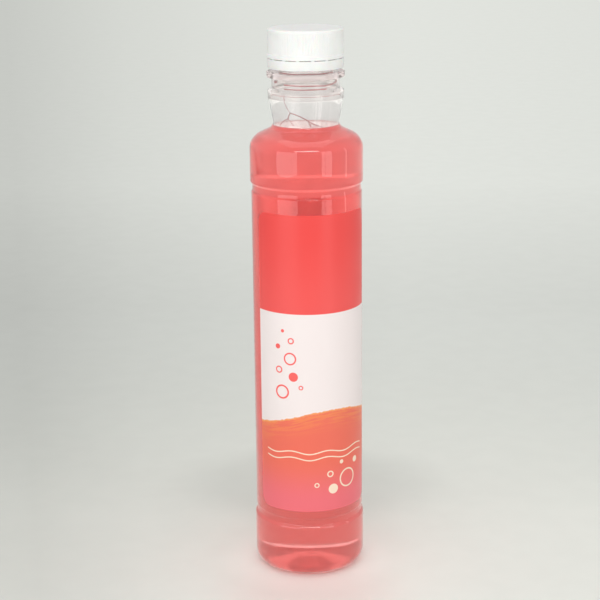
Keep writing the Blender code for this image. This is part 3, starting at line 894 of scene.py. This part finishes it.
def assign(piece, materials, choose=None):
    """Give a piece its materials. The choice is made for each face from its centre and normal."""
    piece.data.materials.clear()
    for material in materials:
        piece.data.materials.append(material)
    if choose:
        for face in piece.data.polygons:
            face.material_index = choose(face.center, face.normal)


# Pieces

# The bottle's looks by their number, and where a face counts as the wetted inner side of the base and the wall, or
# as the support ring
OUTER, WETTED, NECK, FINISH, RING = range(5)
HEEL_OVERLAP = 0.6 * MM
BASE_INSIDE_SLOPE = 0.05
RING_MARGIN = 0.1 * MM


class MakeBottle(bpy.types.Operator):
    """Turn the clear bottle, and join the thread to its neck"""

    bl_idname = "mouthwash.make_bottle"
    bl_label = "Make bottle"

    def execute(self, context):
        size, colours = context.scene.bottle_sizes, context.scene.bottle_colours
        inner = cavity_outline(size) + neck_cavity()
        outline = body_outline(size) + neck_outline() + list(reversed(inner))
        bottle = turned("bottle_shell", outline, size.columns)
        root = FINISH_RADIUS - THREAD_SINK
        join_solid(bottle, thread_ridge("neck_thread", root, THREAD_CREST_RADIUS, THREAD_Z))
        smooth(bottle)
        # Wall and liquid bend light almost alike, so the wall's wetted inner side is not seen
        outer = clear_plastic("clear_bottle_plastic_look", colours.plastic, ior=1.38, specular=1.0, coat=0.5)
        wetted = clear_plastic("wetted_wall_look", colours.plastic, ior=1.38, alpha=0.0)
        neck = clear_plastic("neck_plastic_look", colours.neck, ior=1.57, transmission=0.9)
        finish = clear_plastic(
            "neck_finish_look", colours.finish, ior=1.10, transmission=0.86, specular=1.0, coat=0.5)
        ring = clear_plastic("support_ring_look", colours.support_ring, ior=1.05, transmission=0.7)

        def wetted_or_neck(centre, normal):
            outwards = normal.x * centre.x + normal.y * centre.y
            low = centre.z < HEEL_RADIUS and normal.z > BASE_INSIDE_SLOPE
            side = centre.z > HEEL_RADIUS - HEEL_OVERLAP and outwards < 0.0
            if centre.z < size.fill_height:
                return WETTED if low or side else OUTER
            on_ring = RING_Z - RING_MARGIN < centre.z < FINISH_Z + RING_MARGIN
            if centre.xy.length > NECK_RADIUS and on_ring:
                return RING
            return NECK if centre.z < COLLAR_Z else FINISH

        assign(bottle, (outer, wetted, neck, finish, ring), wetted_or_neck)
        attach(bottle, "bottle")
        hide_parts("bottle")
        return {"FINISHED"}


# The liquid's looks by their number. Light crosses its base twice where the base mirrors it, so its tint is weaker
# there, and at the surface.
SIDES, SURFACE, BASE = range(3)
BASE_LOOK_Z = 6.0 * MM
BASE_LOOK_RADIUS = 23.0 * MM
BASE_TINT = 0.4
SURFACE_TINT = 0.86
# Where a face counts as part of the surface
SURFACE_MARGIN = 0.1 * MM
SURFACE_SLOPE = 0.25
# The liquid's gap to the wall, and its surface, which climbs the wall and is level further in
LIQUID_GAP = 0.04 * MM
WALL_END_DROP = 0.3 * MM
SURFACE_STEPS = 12
SURFACE_REACH = 4.0 * MM
SURFACE_FALL = 0.9 * MM
SURFACE_FLAT = 8.0 * MM


class MakeMouthwash(bpy.types.Operator):
    """Turn the liquid, which climbs the wall a little at its surface"""

    bl_idname = "mouthwash.make_mouthwash"
    bl_label = "Make mouthwash"

    def execute(self, context):
        size, colours = context.scene.bottle_sizes, context.scene.bottle_colours
        wall = cavity_outline(size, LIQUID_GAP)
        top = size.fill_height + size.meniscus
        outline = [point for point in wall if point[1] < top - WALL_END_DROP]
        wall_radius = NECK_ROOT_RADIUS - size.wall - LIQUID_GAP + (top - NECK_ROOT_Z) * NECK_CONE_SLOPE
        outline.append((wall_radius, top))
        for step in range(1, SURFACE_STEPS + 1):
            away = SURFACE_REACH * (step / SURFACE_STEPS) ** 1.5
            outline.append((wall_radius - away, size.fill_height + size.meniscus * math.exp(-away / SURFACE_FALL)))
        outline += [(wall_radius - SURFACE_FLAT, size.fill_height), (0.0, size.fill_height)]
        liquid = turned("mouthwash_fill", outline, size.columns)
        smooth(liquid, degrees=50.0)
        sides = liquid_material("mouthwash_look", colours.liquid, ior=1.0, transmission=0.65)
        surface = liquid_material(
            "mouthwash_surface_look", weaker(colours.liquid, SURFACE_TINT), ior=1.34, transmission=1.0, coat=0.6)
        base = liquid_material(
            "mouthwash_base_look", weaker(colours.liquid, BASE_TINT), ior=1.0, transmission=0.65)

        def surface_or_base(centre, normal):
            if centre.z < BASE_LOOK_Z and centre.xy.length < BASE_LOOK_RADIUS:
                return BASE
            on_surface = centre.z > size.fill_height - SURFACE_MARGIN and normal.z > SURFACE_SLOPE
            return SURFACE if on_surface else SIDES

        assign(liquid, (sides, surface, base), surface_or_base)
        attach(liquid, "bottle")
        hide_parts("mouthwash")
        return {"FINISHED"}


def tube(name, points, thickness):
    """A thin round thread of liquid along a path."""
    trace(name, points)
    object_mode()
    bpy.ops.object.convert(target="CURVE")
    piece = bpy.context.object
    piece.data.bevel_depth = thickness
    piece.data.bevel_resolution = 1
    piece.data.use_fill_caps = True
    bpy.ops.object.convert(target="MESH")
    return bpy.context.object


# Room that a film takes on the wall, the radius in mm at which round films are laid out, and the share of its
# thickness by which a film's middle stands off the wall
FILM_ROOM = 0.2 * MM
BORE_FILM_ROOM = 0.15 * MM
COLLAR_FILM_ROOM = 0.25 * MM
FILM_RADIUS = 14.8
FILM_OFFSET_SHARE = 0.8
WET_STEPS = 48


def neck_wall(z):
    """Inner radius of the neck at a height, less the room that a film on it takes."""
    if z > RING_Z:
        return BORE_RADIUS - BORE_FILM_ROOM
    if z > COLLAR_TOP_Z:
        return NECK_RADIUS - NECK_WALL - FILM_ROOM
    collar = COLLAR_RADIUS - COLLAR_WALL
    cone = (collar - NECK_ROOT_RADIUS + WALL) / (COLLAR_Z - NECK_ROOT_Z)
    return min(NECK_ROOT_RADIUS - WALL - FILM_ROOM + (z - NECK_ROOT_Z) * cone, collar - COLLAR_FILM_ROOM)


def film_path(places, thickness):
    """Points just off the neck's inner wall, each given as (angle from the camera's side in degrees, height in mm)."""
    points = []
    for angle, height in places:
        z = height * MM
        points.append(around(neck_wall(z) - FILM_OFFSET_SHARE * thickness, CAMERA_ANGLE + math.radians(angle), z))
    return points


def film_arc(middle, height, radius, start, end, steps=14):
    """A round film edge on the wall: middle in degrees, the rest of the sizes in mm."""
    places = []
    for step in range(steps + 1):
        turn = math.radians(start + (end - start) * step / steps)
        places.append((middle + math.degrees(radius * math.cos(turn) / FILM_RADIUS), height + radius * math.sin(turn)))
    return places


# Film edges on the wall, each as its thickness in mm and its path
FOAM_FILMS = (
    (0.10, ((-38.7, 225.6), (-36.4, 222.8), (-30.9, 219.5), (-27.0, 218.0))),
    (0.22, ((-27.0, 218.0), (-19.5, 217.5), (-11.0, 216.6), (-2.6, 215.5), (4.3, 214.4), (12.2, 213.1), (21.6, 212.1),
            (30.7, 211.4))),
    (0.22, ((-27.0, 218.0), (-30.0, 216.8), (-32.6, 215.2))),
    (0.20, ((-32.6, 215.2), (-39.3, 214.5), (-46.5, 213.4), (-52.8, 211.8))),
    (0.16, ((-32.6, 215.2), (-28.3, 214.3), (-24.9, 213.0), (-21.9, 211.9))),
    (0.18, ((4.3, 214.4), (5.7, 213.2), (8.8, 211.8))),
    (0.16, film_arc(11.0, 212.3, 0.9, -60.0, 240.0)),
    (0.16, film_arc(20.5, 211.7, 0.7, -40.0, 220.0)),
    (0.34, ((-40.0, 229.8), (-20.0, 229.75), (0.0, 229.75), (20.0, 229.7), (37.8, 229.5), (50.0, 229.7), (59.2, 229.9),
            (70.0, 230.2), (80.0, 230.8))),
    (0.40, ((-43.0, 229.9), (-37.0, 229.8))),
    (0.80, ((-90.0, 230.7), (-84.0, 230.2))),
    (0.45, ((84.0, 230.7), (76.0, 230.9))),
)
# Wet rings, each as its height in mm, its start and end in degrees, and its thickness in mm
WET_LINES = ((234.5, -66.0, 70.0, 0.46), (228.1, -42.0, 40.0, 0.28), (225.1, -100.0, 100.0, 0.09))


class MakeFoam(bpy.types.Operator):
    """Draw the thin films and the wet lines that the liquid leaves on the neck's inner wall"""

    bl_idname = "mouthwash.make_foam"
    bl_label = "Make foam"

    def execute(self, context):
        colours = context.scene.bottle_colours
        lines = list(FOAM_FILMS)
        for height, start, end, thickness in WET_LINES:
            turn = (end - start) / WET_STEPS
            lines.append((thickness, [(start + turn * step, height) for step in range(WET_STEPS + 1)]))
        threads = [tube("foam", film_path(places, thickness * MM), thickness * MM) for thickness, places in lines]
        foam = threads[0]
        pick(foam)
        for thread in threads:
            thread.select_set(True)
        bpy.ops.object.join()
        foam.name = "foam_films"
        edit_mode()
        close_mesh()
        smooth(foam, degrees=60.0)
        assign(foam, (liquid_material("foam_look", colours.foam, ior=1.33, transmission=0.3),))
        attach(foam, "bottle")
        return {"FINISHED"}


class MakeCap(bpy.types.Operator):
    """Turn one rib's sector of the cap, shape the rib, and repeat it around"""

    bl_idname = "mouthwash.make_cap"
    bl_label = "Make cap"

    def execute(self, context):
        size, colours = context.scene.cap_sizes, context.scene.bottle_colours
        rib_low = CAP_Z + CAP_BAND_HEIGHT
        rib_high = CAP_TOP_Z - CAP_EDGE_ROUND - RIB_TOP_GAP
        outline = [
            (0.0, CEILING_Z), (CAP_INNER_RADIUS - CEILING_CORNER, CEILING_Z),
            (CAP_INNER_RADIUS, CEILING_Z - CEILING_CORNER), (CAP_INNER_RADIUS, CAP_Z + CAP_MOUTH_RISE),
            (CAP_INNER_RADIUS + CAP_MOUTH_FLARE, CAP_Z), (CAP_BAND_RADIUS - CAP_BEVEL, CAP_Z),
            (CAP_BAND_RADIUS, CAP_Z + CAP_BEVEL), (CAP_BAND_RADIUS, rib_low - BAND_SLOPE_HEIGHT),
            (CAP_RADIUS + BAND_CORNER_WIDTH, rib_low - BAND_CORNER_HEIGHT), (CAP_RADIUS, rib_low),
            (CAP_RADIUS, rib_low + RIB_FOOT), (CAP_RADIUS, rib_high - RIB_HEAD), (CAP_RADIUS, rib_high),
        ]
        outline += arc(CAP_RADIUS - CAP_EDGE_ROUND, CAP_TOP_Z - CAP_EDGE_ROUND, CAP_EDGE_ROUND, 0.0, 90.0, 8)
        outline += [(CAP_RADIUS - CAP_RIM_WIDTH, CAP_TOP_Z), (0.0, CAP_TOP_Z)]
        pitch = FULL_TURN / size.ribs
        cap = turned("cap_shell", outline, RIB_COLUMNS, 0.0, pitch)
        for column in range(RIB_COLUMNS + 1):
            side_share = column / RIB_COLUMNS
            depth_share = (1.0 + math.cos(FULL_TURN * side_share)) / 2.0
            edit_mode("DESELECT")
            object_mode()
            for vertex in cap.data.vertices:
                angle = math.atan2(vertex.co.x, -vertex.co.y)
                on_rib = rib_low + RIB_MARGIN < vertex.co.z < rib_high - RIB_MARGIN
                near = abs(angle - pitch * side_share) < pitch * COLUMN_NEAR_SHARE
                vertex.select = on_rib and near and vertex.co.xy.length > CAP_RADIUS - CAP_SKIN
            bpy.ops.object.mode_set(mode="EDIT")
            share = 1.0 - size.rib_depth * depth_share / CAP_RADIUS
            bpy.ops.transform.resize(value=(share, share, 1.0), center_override=(0.0, 0.0, 0.0))
        object_mode()
        repeat_around(cap, size.ribs)
        root, crest = CAP_INNER_RADIUS + THREAD_SINK, FINISH_RADIUS + THREAD_CLEARANCE
        join_solid(cap, thread_ridge("cap_thread", root, crest, THREAD_Z + THREAD_PITCH / 2.0))
        smooth(cap, degrees=24.0)
        assign(cap, (white_plastic("white_cap_look", colours.cap),))
        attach(cap, "cap")
        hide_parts("cap")
        return {"FINISHED"}


class MakeLiner(bpy.types.Operator):
    """Turn the liner disc, with the dent that the mouth leaves in it"""

    bl_idname = "mouthwash.make_liner"
    bl_label = "Make liner"

    def execute(self, context):
        slope, dent_z, side = LINER_DENT_SLOPE, LINER_Z + LINER_DENT, LINER_RADIUS - LINER_EDGE
        outline = [
            (0.0, LINER_Z), (BORE_RADIUS - slope, LINER_Z), (BORE_RADIUS + slope, dent_z),
            (FINISH_RADIUS - slope, dent_z), (FINISH_RADIUS + slope, LINER_Z),
            *arc(side, LINER_Z + LINER_EDGE, LINER_EDGE, -90.0, 0.0, 4),
            *arc(side, LINER_TOP_Z - LINER_EDGE, LINER_EDGE, 0.0, 90.0, 4), (0.0, LINER_TOP_Z),
        ]
        liner = turned("liner_disc", outline, context.scene.bottle_sizes.columns)
        smooth(liner)
        assign(liner, (liner_foam("liner_foam_look"),))
        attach(liner, "liner")
        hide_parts("cap_liner")
        return {"FINISHED"}


class MakeTamperRing(bpy.types.Operator):
    """Turn one bridge's sector of the tamper ring, raise the bridge, and repeat it around"""

    bl_idname = "mouthwash.make_tamper_ring"
    bl_label = "Make tamper ring"

    def execute(self, context):
        size, colours = context.scene.cap_sizes, context.scene.bottle_colours
        foot = TAMPER_RADIUS - TAMPER_TAPER
        outline = [
            (TAMPER_INNER_RADIUS, TAMPER_Z), (foot - TAMPER_FOOT_EDGE, TAMPER_Z), (foot, TAMPER_Z + TAMPER_FOOT_EDGE),
            (TAMPER_RADIUS, TAMPER_Z + TAMPER_TAPER_HEIGHT), (TAMPER_RADIUS, TAMPER_TOP_Z - TAMPER_TOP_EDGE),
            (TAMPER_RADIUS - TAMPER_TOP_EDGE, TAMPER_TOP_Z), (TAMPER_INNER_RADIUS, TAMPER_TOP_Z),
            (TAMPER_INNER_RADIUS, SNAP_Z + SNAP_HEIGHT + SNAP_SLOPE), (SNAP_RADIUS, SNAP_Z + SNAP_HEIGHT),
            (SNAP_RADIUS, SNAP_Z), (TAMPER_INNER_RADIUS, TAMPER_Z),
        ]
        pitch = FULL_TURN / size.bridges
        ring = turned("tamper_band", outline, SECTOR_COLUMNS, size.bridge_phase - pitch / 2.0, pitch)
        edit_mode()
        bpy.ops.mesh.select_mode(type="FACE")
        bpy.ops.mesh.select_all(action="DESELECT")
        object_mode()
        for face in ring.data.polygons:
            angle = math.atan2(face.center.x, -face.center.y) - size.bridge_phase
            lowest = min(ring.data.vertices[corner].co.z for corner in face.vertices)
            face.select = abs(angle) < pitch / SECTOR_COLUMNS / 2.0 and lowest > TAMPER_TOP_Z - TAMPER_TOP_EDGE / 5.0
        bpy.ops.object.mode_set(mode="EDIT")
        bpy.ops.mesh.extrude_region_move(TRANSFORM_OT_translate={"value": (0.0, 0.0, BRIDGE_HEIGHT)})
        bpy.ops.mesh.select_mode(type="VERT")
        object_mode()
        repeat_around(ring, size.bridges)
        smooth(ring, degrees=24.0)
        assign(ring, (white_plastic("white_ring_look", colours.cap),))
        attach(ring, "tamper_ring")
        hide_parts("tamper_ring")
        return {"FINISHED"}


def wrapped_label(name, size, radius, facing):
    """A flat film with rounded corners, cut into strips, given its thickness and bent round the panel."""
    height = LABEL_TOP_Z - LABEL_Z
    deselect()
    bpy.ops.mesh.primitive_plane_add(size=1.0, location=(0.0, 0.0, 0.0), rotation=(math.pi / 2.0, 0.0, 0.0))
    label = bpy.context.object
    label.name = name
    bpy.ops.transform.resize(value=(size.width, 1.0, height))
    bpy.ops.object.transform_apply(location=True, rotation=True, scale=True)
    edit_mode()
    bpy.ops.mesh.bevel(offset=size.corner, segments=LABEL_CORNER_STEPS, affect="VERTICES")
    for step in range(1, size.columns):
        bpy.ops.mesh.select_all(action="SELECT")
        place = size.width * (step / size.columns - 0.5)
        bpy.ops.mesh.bisect(plane_co=(place, 0.0, 0.0), plane_no=(1.0, 0.0, 0.0))
    merge_close()
    object_mode()
    apply_modifier(label, "SOLIDIFY", thickness=size.thickness, offset=0.0)
    middle = radius + size.thickness / 2.0
    for vertex in label.data.vertices:
        angle = facing + vertex.co.x / middle
        vertex.co = around(middle - vertex.co.y, angle, vertex.co.z + (LABEL_Z + LABEL_TOP_Z) / 2.0)
    edit_mode()
    close_mesh()
    smooth(label)
    return label


# A label's looks by their number
PRINT, UNDERSIDE = range(2)


class MakeLabels(bpy.types.Operator):
    """Cut and wrap the front and the back label"""

    bl_idname = "mouthwash.make_labels"
    bl_label = "Make labels"

    def execute(self, context):
        size, colours = context.scene.label_sizes, context.scene.bottle_colours
        radius = context.scene.bottle_sizes.panel_radius + LABEL_SEAT
        back = film_back("label_underside_look")

        def print_or_underside(centre, normal):
            outwards = normal.x * centre.x + normal.y * centre.y
            return UNDERSIDE if outwards < -radius / 2.0 else PRINT

        for node, facing in (("front_label", 0.0), ("back_label", math.pi)):
            name = node + "_film"
            label = wrapped_label(name, size, radius, facing)
            assign(label, (printed_film(name + "_look", colours, node == "front_label"), back), print_or_underside)
            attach(label, "bottle")
            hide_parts(node)
        return {"FINISHED"}


# Studio. Places on the floor and the softboxes' sizes are in metres.

CAMERA_ANGLE = math.radians(-10.3)
CAMERA_DISTANCE = 729.6 * MM
CAMERA_HEIGHT = 330.0 * MM
CAMERA_PITCH = math.radians(15.430)
CAMERA_ROLL = math.radians(-0.599)
CAMERA_YAW = math.radians(-0.279)
CAMERA_LENS = 97.93
CAMERA_SENSOR = 36.0
CAMERA_CLIP_END = 50.0
FLOOR_RADIUS = 9.0
FLOOR_COLUMNS = 96
FLOOR_GAIN = 1.12
FLOOR_TINT = (0.978, 1.0, 0.945)
FLOOR_SPECKLE = 0.985
PAINTED_FOOT_GLOW = (1.0, 0.35, 0.33)
# What the floor turns to for rays that passed through clear plastic, and by how much
FLOOR_THROUGH = (0.96, 0.96, 0.96)
THROUGH_SHARE = 0.7
# Painted light and shade of the floor by the depth behind the bottle, and its share by the slope from left to
# right, which is even near the camera
PAINTED_DEPTH_SHADES = ((-0.05, 0.752), (0.05, 0.757), (0.25, 0.712), (0.45, 0.686), (0.65, 0.726), (0.91, 0.783))
PAINTED_SIDE_SHARES = ((-0.181, 0.76), (-0.110, 0.885), (-0.043, 0.955), (0.061, 1.0), (0.181, 0.97))
NEAR_SHARE = (0.93, 0.93, 0.93)
NEAR_DEPTHS = (-1.20, 0.45)
LEAST_DISTANCE = 0.25
# Painted shadow and painted light round the bottle, each as the depth of its middle, how much deeper it is drawn
# than wide, the distances at which it starts and stops to fade, its strength and its tint
PAINTED_FLOOR_SPOTS = (
    # Painted soft shadow behind the bottle
    (0.095, 1.4, 0.035, 0.090, 0.12, BLACK),
    # Painted pool of light in front of the base
    (-0.022, 1.0, 0.020, 0.100, 0.85, (1.07, 1.06, 1.06)),
    # Painted light round the base, which lifts its shade
    (0.0, 1.0, 0.022, 0.048, 1.0, (1.11, 1.12, 1.13)),
    # Painted pink light in front, as if thrown through the liquid
    (-0.045, 1.0, 0.010, 0.055, 1.0, (0.985, 0.865, 0.87)),
)
# Distances between which the painted glow under the bottle ends, and between which the floor turns from lit to even
FOOT_GLOW_RANGE = (0.010, 0.027)
EVEN_RANGE = (0.12, 0.45)
# The world's colour and strength, and what its strength gains for each kind of ray
WORLD_COLOUR = (1.0, 0.995, 0.975, 1.0)
WORLD_STRENGTH = 0.60
WORLD_GAINS = (("Is Camera Ray", 0.19), ("Is Glossy Ray", 0.09), ("Is Transmission Ray", 0.85))
# Softboxes, each as its name, its azimuth in degrees from the camera's side, its distance, height, width, length
# and radiance, and the height on the bottle's axis that it faces
SOFTBOXES = (
    ("left_softbox", -40.0, 0.70, 0.24, 0.55, 0.44, 1.65, 0.24),
    ("right_softbox", 41.0, 0.70, 0.26, 0.27, 0.48, 1.75, 0.26),
    ("side_strip", 86.0, 0.70, 0.24, 0.05, 0.44, 1.5, 0.24),
    ("front_strip", 0.0, 0.75, 0.64, 0.68, 0.08, 10.0, 0.15),
    ("overhead", 0.0, 0.05, 1.6, 1.6, 1.6, 0.75, 0.0),
)


def ramp_node(tree, value, stops):
    """A colour ramp over the range of its own stops, each given as (value, grey)."""
    low, high = stops[0][0], stops[-1][0]
    ramp = add_node(tree, "ShaderNodeValToRGB")
    tree.links.new(range_node(tree, value, low, high, kind="LINEAR"), ramp.inputs["Fac"])
    elements = ramp.color_ramp.elements
    while len(elements) < len(stops):
        elements.new(0.5)
    for element, (at, grey) in zip(elements, stops):
        element.position = (at - low) / (high - low)
        element.color = (grey, grey, grey, 1.0)
    return ramp.outputs["Color"]


def floor_material():
    """Pale studio floor that keeps the bottle's shadow near it, with painted shade, light and a pink glow under it."""
    material, tree, shader, place = start_material("studio_floor_look", roughness=0.8, specular_ior_level=0.0)
    turn = add_node(tree, "ShaderNodeMapping")
    turn.inputs["Rotation"].default_value = (0.0, 0.0, -CAMERA_ANGLE)
    tree.links.new(place, turn.inputs["Vector"])
    axes = axes_of(tree, turn.outputs[0])
    right, depth = axes["X"], axes["Y"]
    # Painted shade across the floor, by the slope from left to right and by the depth
    from_camera = math_node(tree, "MAXIMUM", plus(tree, depth, CAMERA_DISTANCE), LEAST_DISTANCE)
    side = ramp_node(tree, math_node(tree, "DIVIDE", right, from_camera), PAINTED_SIDE_SHARES)
    side = mix_colour(tree, range_node(tree, depth, *NEAR_DEPTHS), NEAR_SHARE, side)
    colour = tinted(tree, tinted(tree, ramp_node(tree, depth, PAINTED_DEPTH_SHADES), FLOOR_TINT), side)
    # Painted shadow behind the bottle and painted light round its base
    for middle, stretch, start, end, strength, tint in PAINTED_FLOOR_SPOTS:
        away = distance_node(tree, right, times(tree, minus(tree, depth, middle), stretch))
        colour = tinted(tree, colour, tint, range_node(tree, away, start, end, strength, 0.0))
    colour = tinted(tree, colour, range_node(tree, noise(tree, place, scale=60.0), *SHADE_RANGE, FLOOR_SPECKLE, 1.0))
    tree.links.new(tinted(tree, colour, (FLOOR_GAIN,) * 3), shader.inputs["Base Color"])
    distance = distance_node(tree, right, depth)
    # Painted pink glow under the bottle, for light that the liquid throws on the floor
    add_glow(tree, shader, range_node(tree, distance, *FOOT_GLOW_RANGE, 1.0, 0.0), PAINTED_FOOT_GLOW, strength=0.30)
    path = add_node(tree, "ShaderNodeLightPath").outputs
    seen = plus(tree, path["Is Camera Ray"], path["Is Glossy Ray"])
    seen = plus(tree, seen, path["Is Transmission Ray"], clamp=True)
    even = add_node(tree, "ShaderNodeEmission")
    through = times(tree, path["Is Transmission Ray"], THROUGH_SHARE)
    tree.links.new(mix_colour(tree, through, colour, FLOOR_THROUGH), even.inputs["Color"])
    blend = add_node(tree, "ShaderNodeMixShader")
    share = times(tree, seen, range_node(tree, distance, *EVEN_RANGE))
    for value, socket in zip((share, shader.outputs[0], even.outputs[0]), blend.inputs):
        tree.links.new(value, socket)
    tree.links.new(blend.outputs[0], tree.nodes["Material Output"].inputs["Surface"])
    return material


def make_world():
    """Even light from all round, brighter where the camera sees it, and most of all through clear plastic."""
    world = bpy.data.worlds.new("studio_world")
    bpy.context.scene.world = world
    world.use_nodes = True
    tree = world.node_tree
    path = add_node(tree, "ShaderNodeLightPath").outputs
    strength = WORLD_STRENGTH
    for ray, gain in WORLD_GAINS:
        strength = plus(tree, times(tree, path[ray], gain), strength)
    background = tree.nodes["Background"]
    background.inputs["Color"].default_value = WORLD_COLOUR
    tree.links.new(strength, background.inputs["Strength"])


def add_softbox(name, azimuth, distance, height, width, length, radiance, aim_height):
    """A soft rectangle of light that the camera doesn't see."""
    spot = around(distance, CAMERA_ANGLE + math.radians(azimuth), height)
    bpy.ops.object.light_add(type="AREA", location=spot)
    lamp = bpy.context.object
    lamp.name = name
    lamp.data.shape = "RECTANGLE"
    lamp.data.size = width
    lamp.data.size_y = length
    lamp.data.energy = radiance * math.pi * width * length
    aim = Vector((0.0, 0.0, aim_height)) - spot
    lamp.rotation_euler = aim.to_track_quat("-Z", "Y").to_euler()
    lamp.visible_camera = False


def camera_view():
    """Place and turn of the camera that took the photo."""
    forward = Vector((math.sin(CAMERA_YAW) * math.cos(CAMERA_PITCH), math.cos(CAMERA_YAW) * math.cos(CAMERA_PITCH),
                      -math.sin(CAMERA_PITCH)))
    right = Vector((math.cos(CAMERA_YAW), -math.sin(CAMERA_YAW), 0.0))
    up = right.cross(forward)
    level, tilt = math.cos(CAMERA_ROLL), math.sin(CAMERA_ROLL)
    right, up = level * right + tilt * up, -tilt * right + level * up
    view = Matrix((right, up, -forward)).transposed().to_4x4()
    view.translation = (0.0, -CAMERA_DISTANCE, CAMERA_HEIGHT)
    return Matrix.Rotation(CAMERA_ANGLE, 4, "Z") @ view


class MakeStage(bpy.types.Operator):
    """Lay the floor, hang the softboxes and set the camera"""

    bl_idname = "mouthwash.make_stage"
    bl_label = "Make stage"

    def execute(self, context):
        deselect()
        bpy.ops.mesh.primitive_circle_add(vertices=FLOOR_COLUMNS, radius=FLOOR_RADIUS, fill_type="NGON")
        floor = bpy.context.object
        floor.name = "studio_floor"
        assign(floor, (floor_material(),))
        make_world()
        for softbox in SOFTBOXES:
            add_softbox(*softbox)
        bpy.ops.object.camera_add()
        camera = bpy.context.object
        camera.name = "photo_camera"
        camera.matrix_world = camera_view()
        camera.data.lens = CAMERA_LENS
        camera.data.sensor_width = CAMERA_SENSOR
        camera.data.clip_end = CAMERA_CLIP_END
        context.scene.camera = camera
        context.scene.view_settings.view_transform = "Standard"
        return {"FINISHED"}


class BottlePanel(bpy.types.Panel):
    """Lists the bottle's sizes, colours and steps"""

    bl_idname = "VIEW3D_PT_mouthwash_bottle"
    bl_label = "Mouthwash Bottle"
    bl_space_type = "VIEW_3D"
    bl_region_type = "UI"
    bl_category = "Bottle"

    def draw(self, context):
        layout = self.layout
        for name in PROPERTY_GROUPS:
            box = layout.box()
            settings = getattr(context.scene, name)
            for key in settings.bl_rna.properties.keys():
                if key not in ("rna_type", "name"):
                    box.prop(settings, key)
        for operator in OPERATORS:
            layout.operator(operator.bl_idname)


PROPERTY_GROUPS = {
    "bottle_sizes": BottleSizes, "cap_sizes": CapSizes, "label_sizes": LabelSizes, "bottle_colours": BottleColours,
}
OPERATORS = (MakeBottle, MakeMouthwash, MakeFoam, MakeCap, MakeLiner, MakeTamperRing, MakeLabels, MakeStage)


def register():
    for name, group in PROPERTY_GROUPS.items():
        bpy.utils.register_class(group)
        setattr(bpy.types.Scene, name, bpy.props.PointerProperty(type=group))
    for item in (*OPERATORS, BottlePanel):
        bpy.utils.register_class(item)


def unregister():
    for item in reversed((*OPERATORS, BottlePanel)):
        bpy.utils.unregister_class(item)
    for name, group in PROPERTY_GROUPS.items():
        delattr(bpy.types.Scene, name)
        bpy.utils.unregister_class(group)


def main():
    register()
    bpy.ops.mouthwash.make_bottle()
    bpy.ops.mouthwash.make_mouthwash()
    bpy.ops.mouthwash.make_foam()
    bpy.ops.mouthwash.make_cap()
    bpy.ops.mouthwash.make_liner()
    bpy.ops.mouthwash.make_tamper_ring()
    bpy.ops.mouthwash.make_labels()
    bpy.ops.mouthwash.make_stage()


if __name__ == "__main__":
    main()
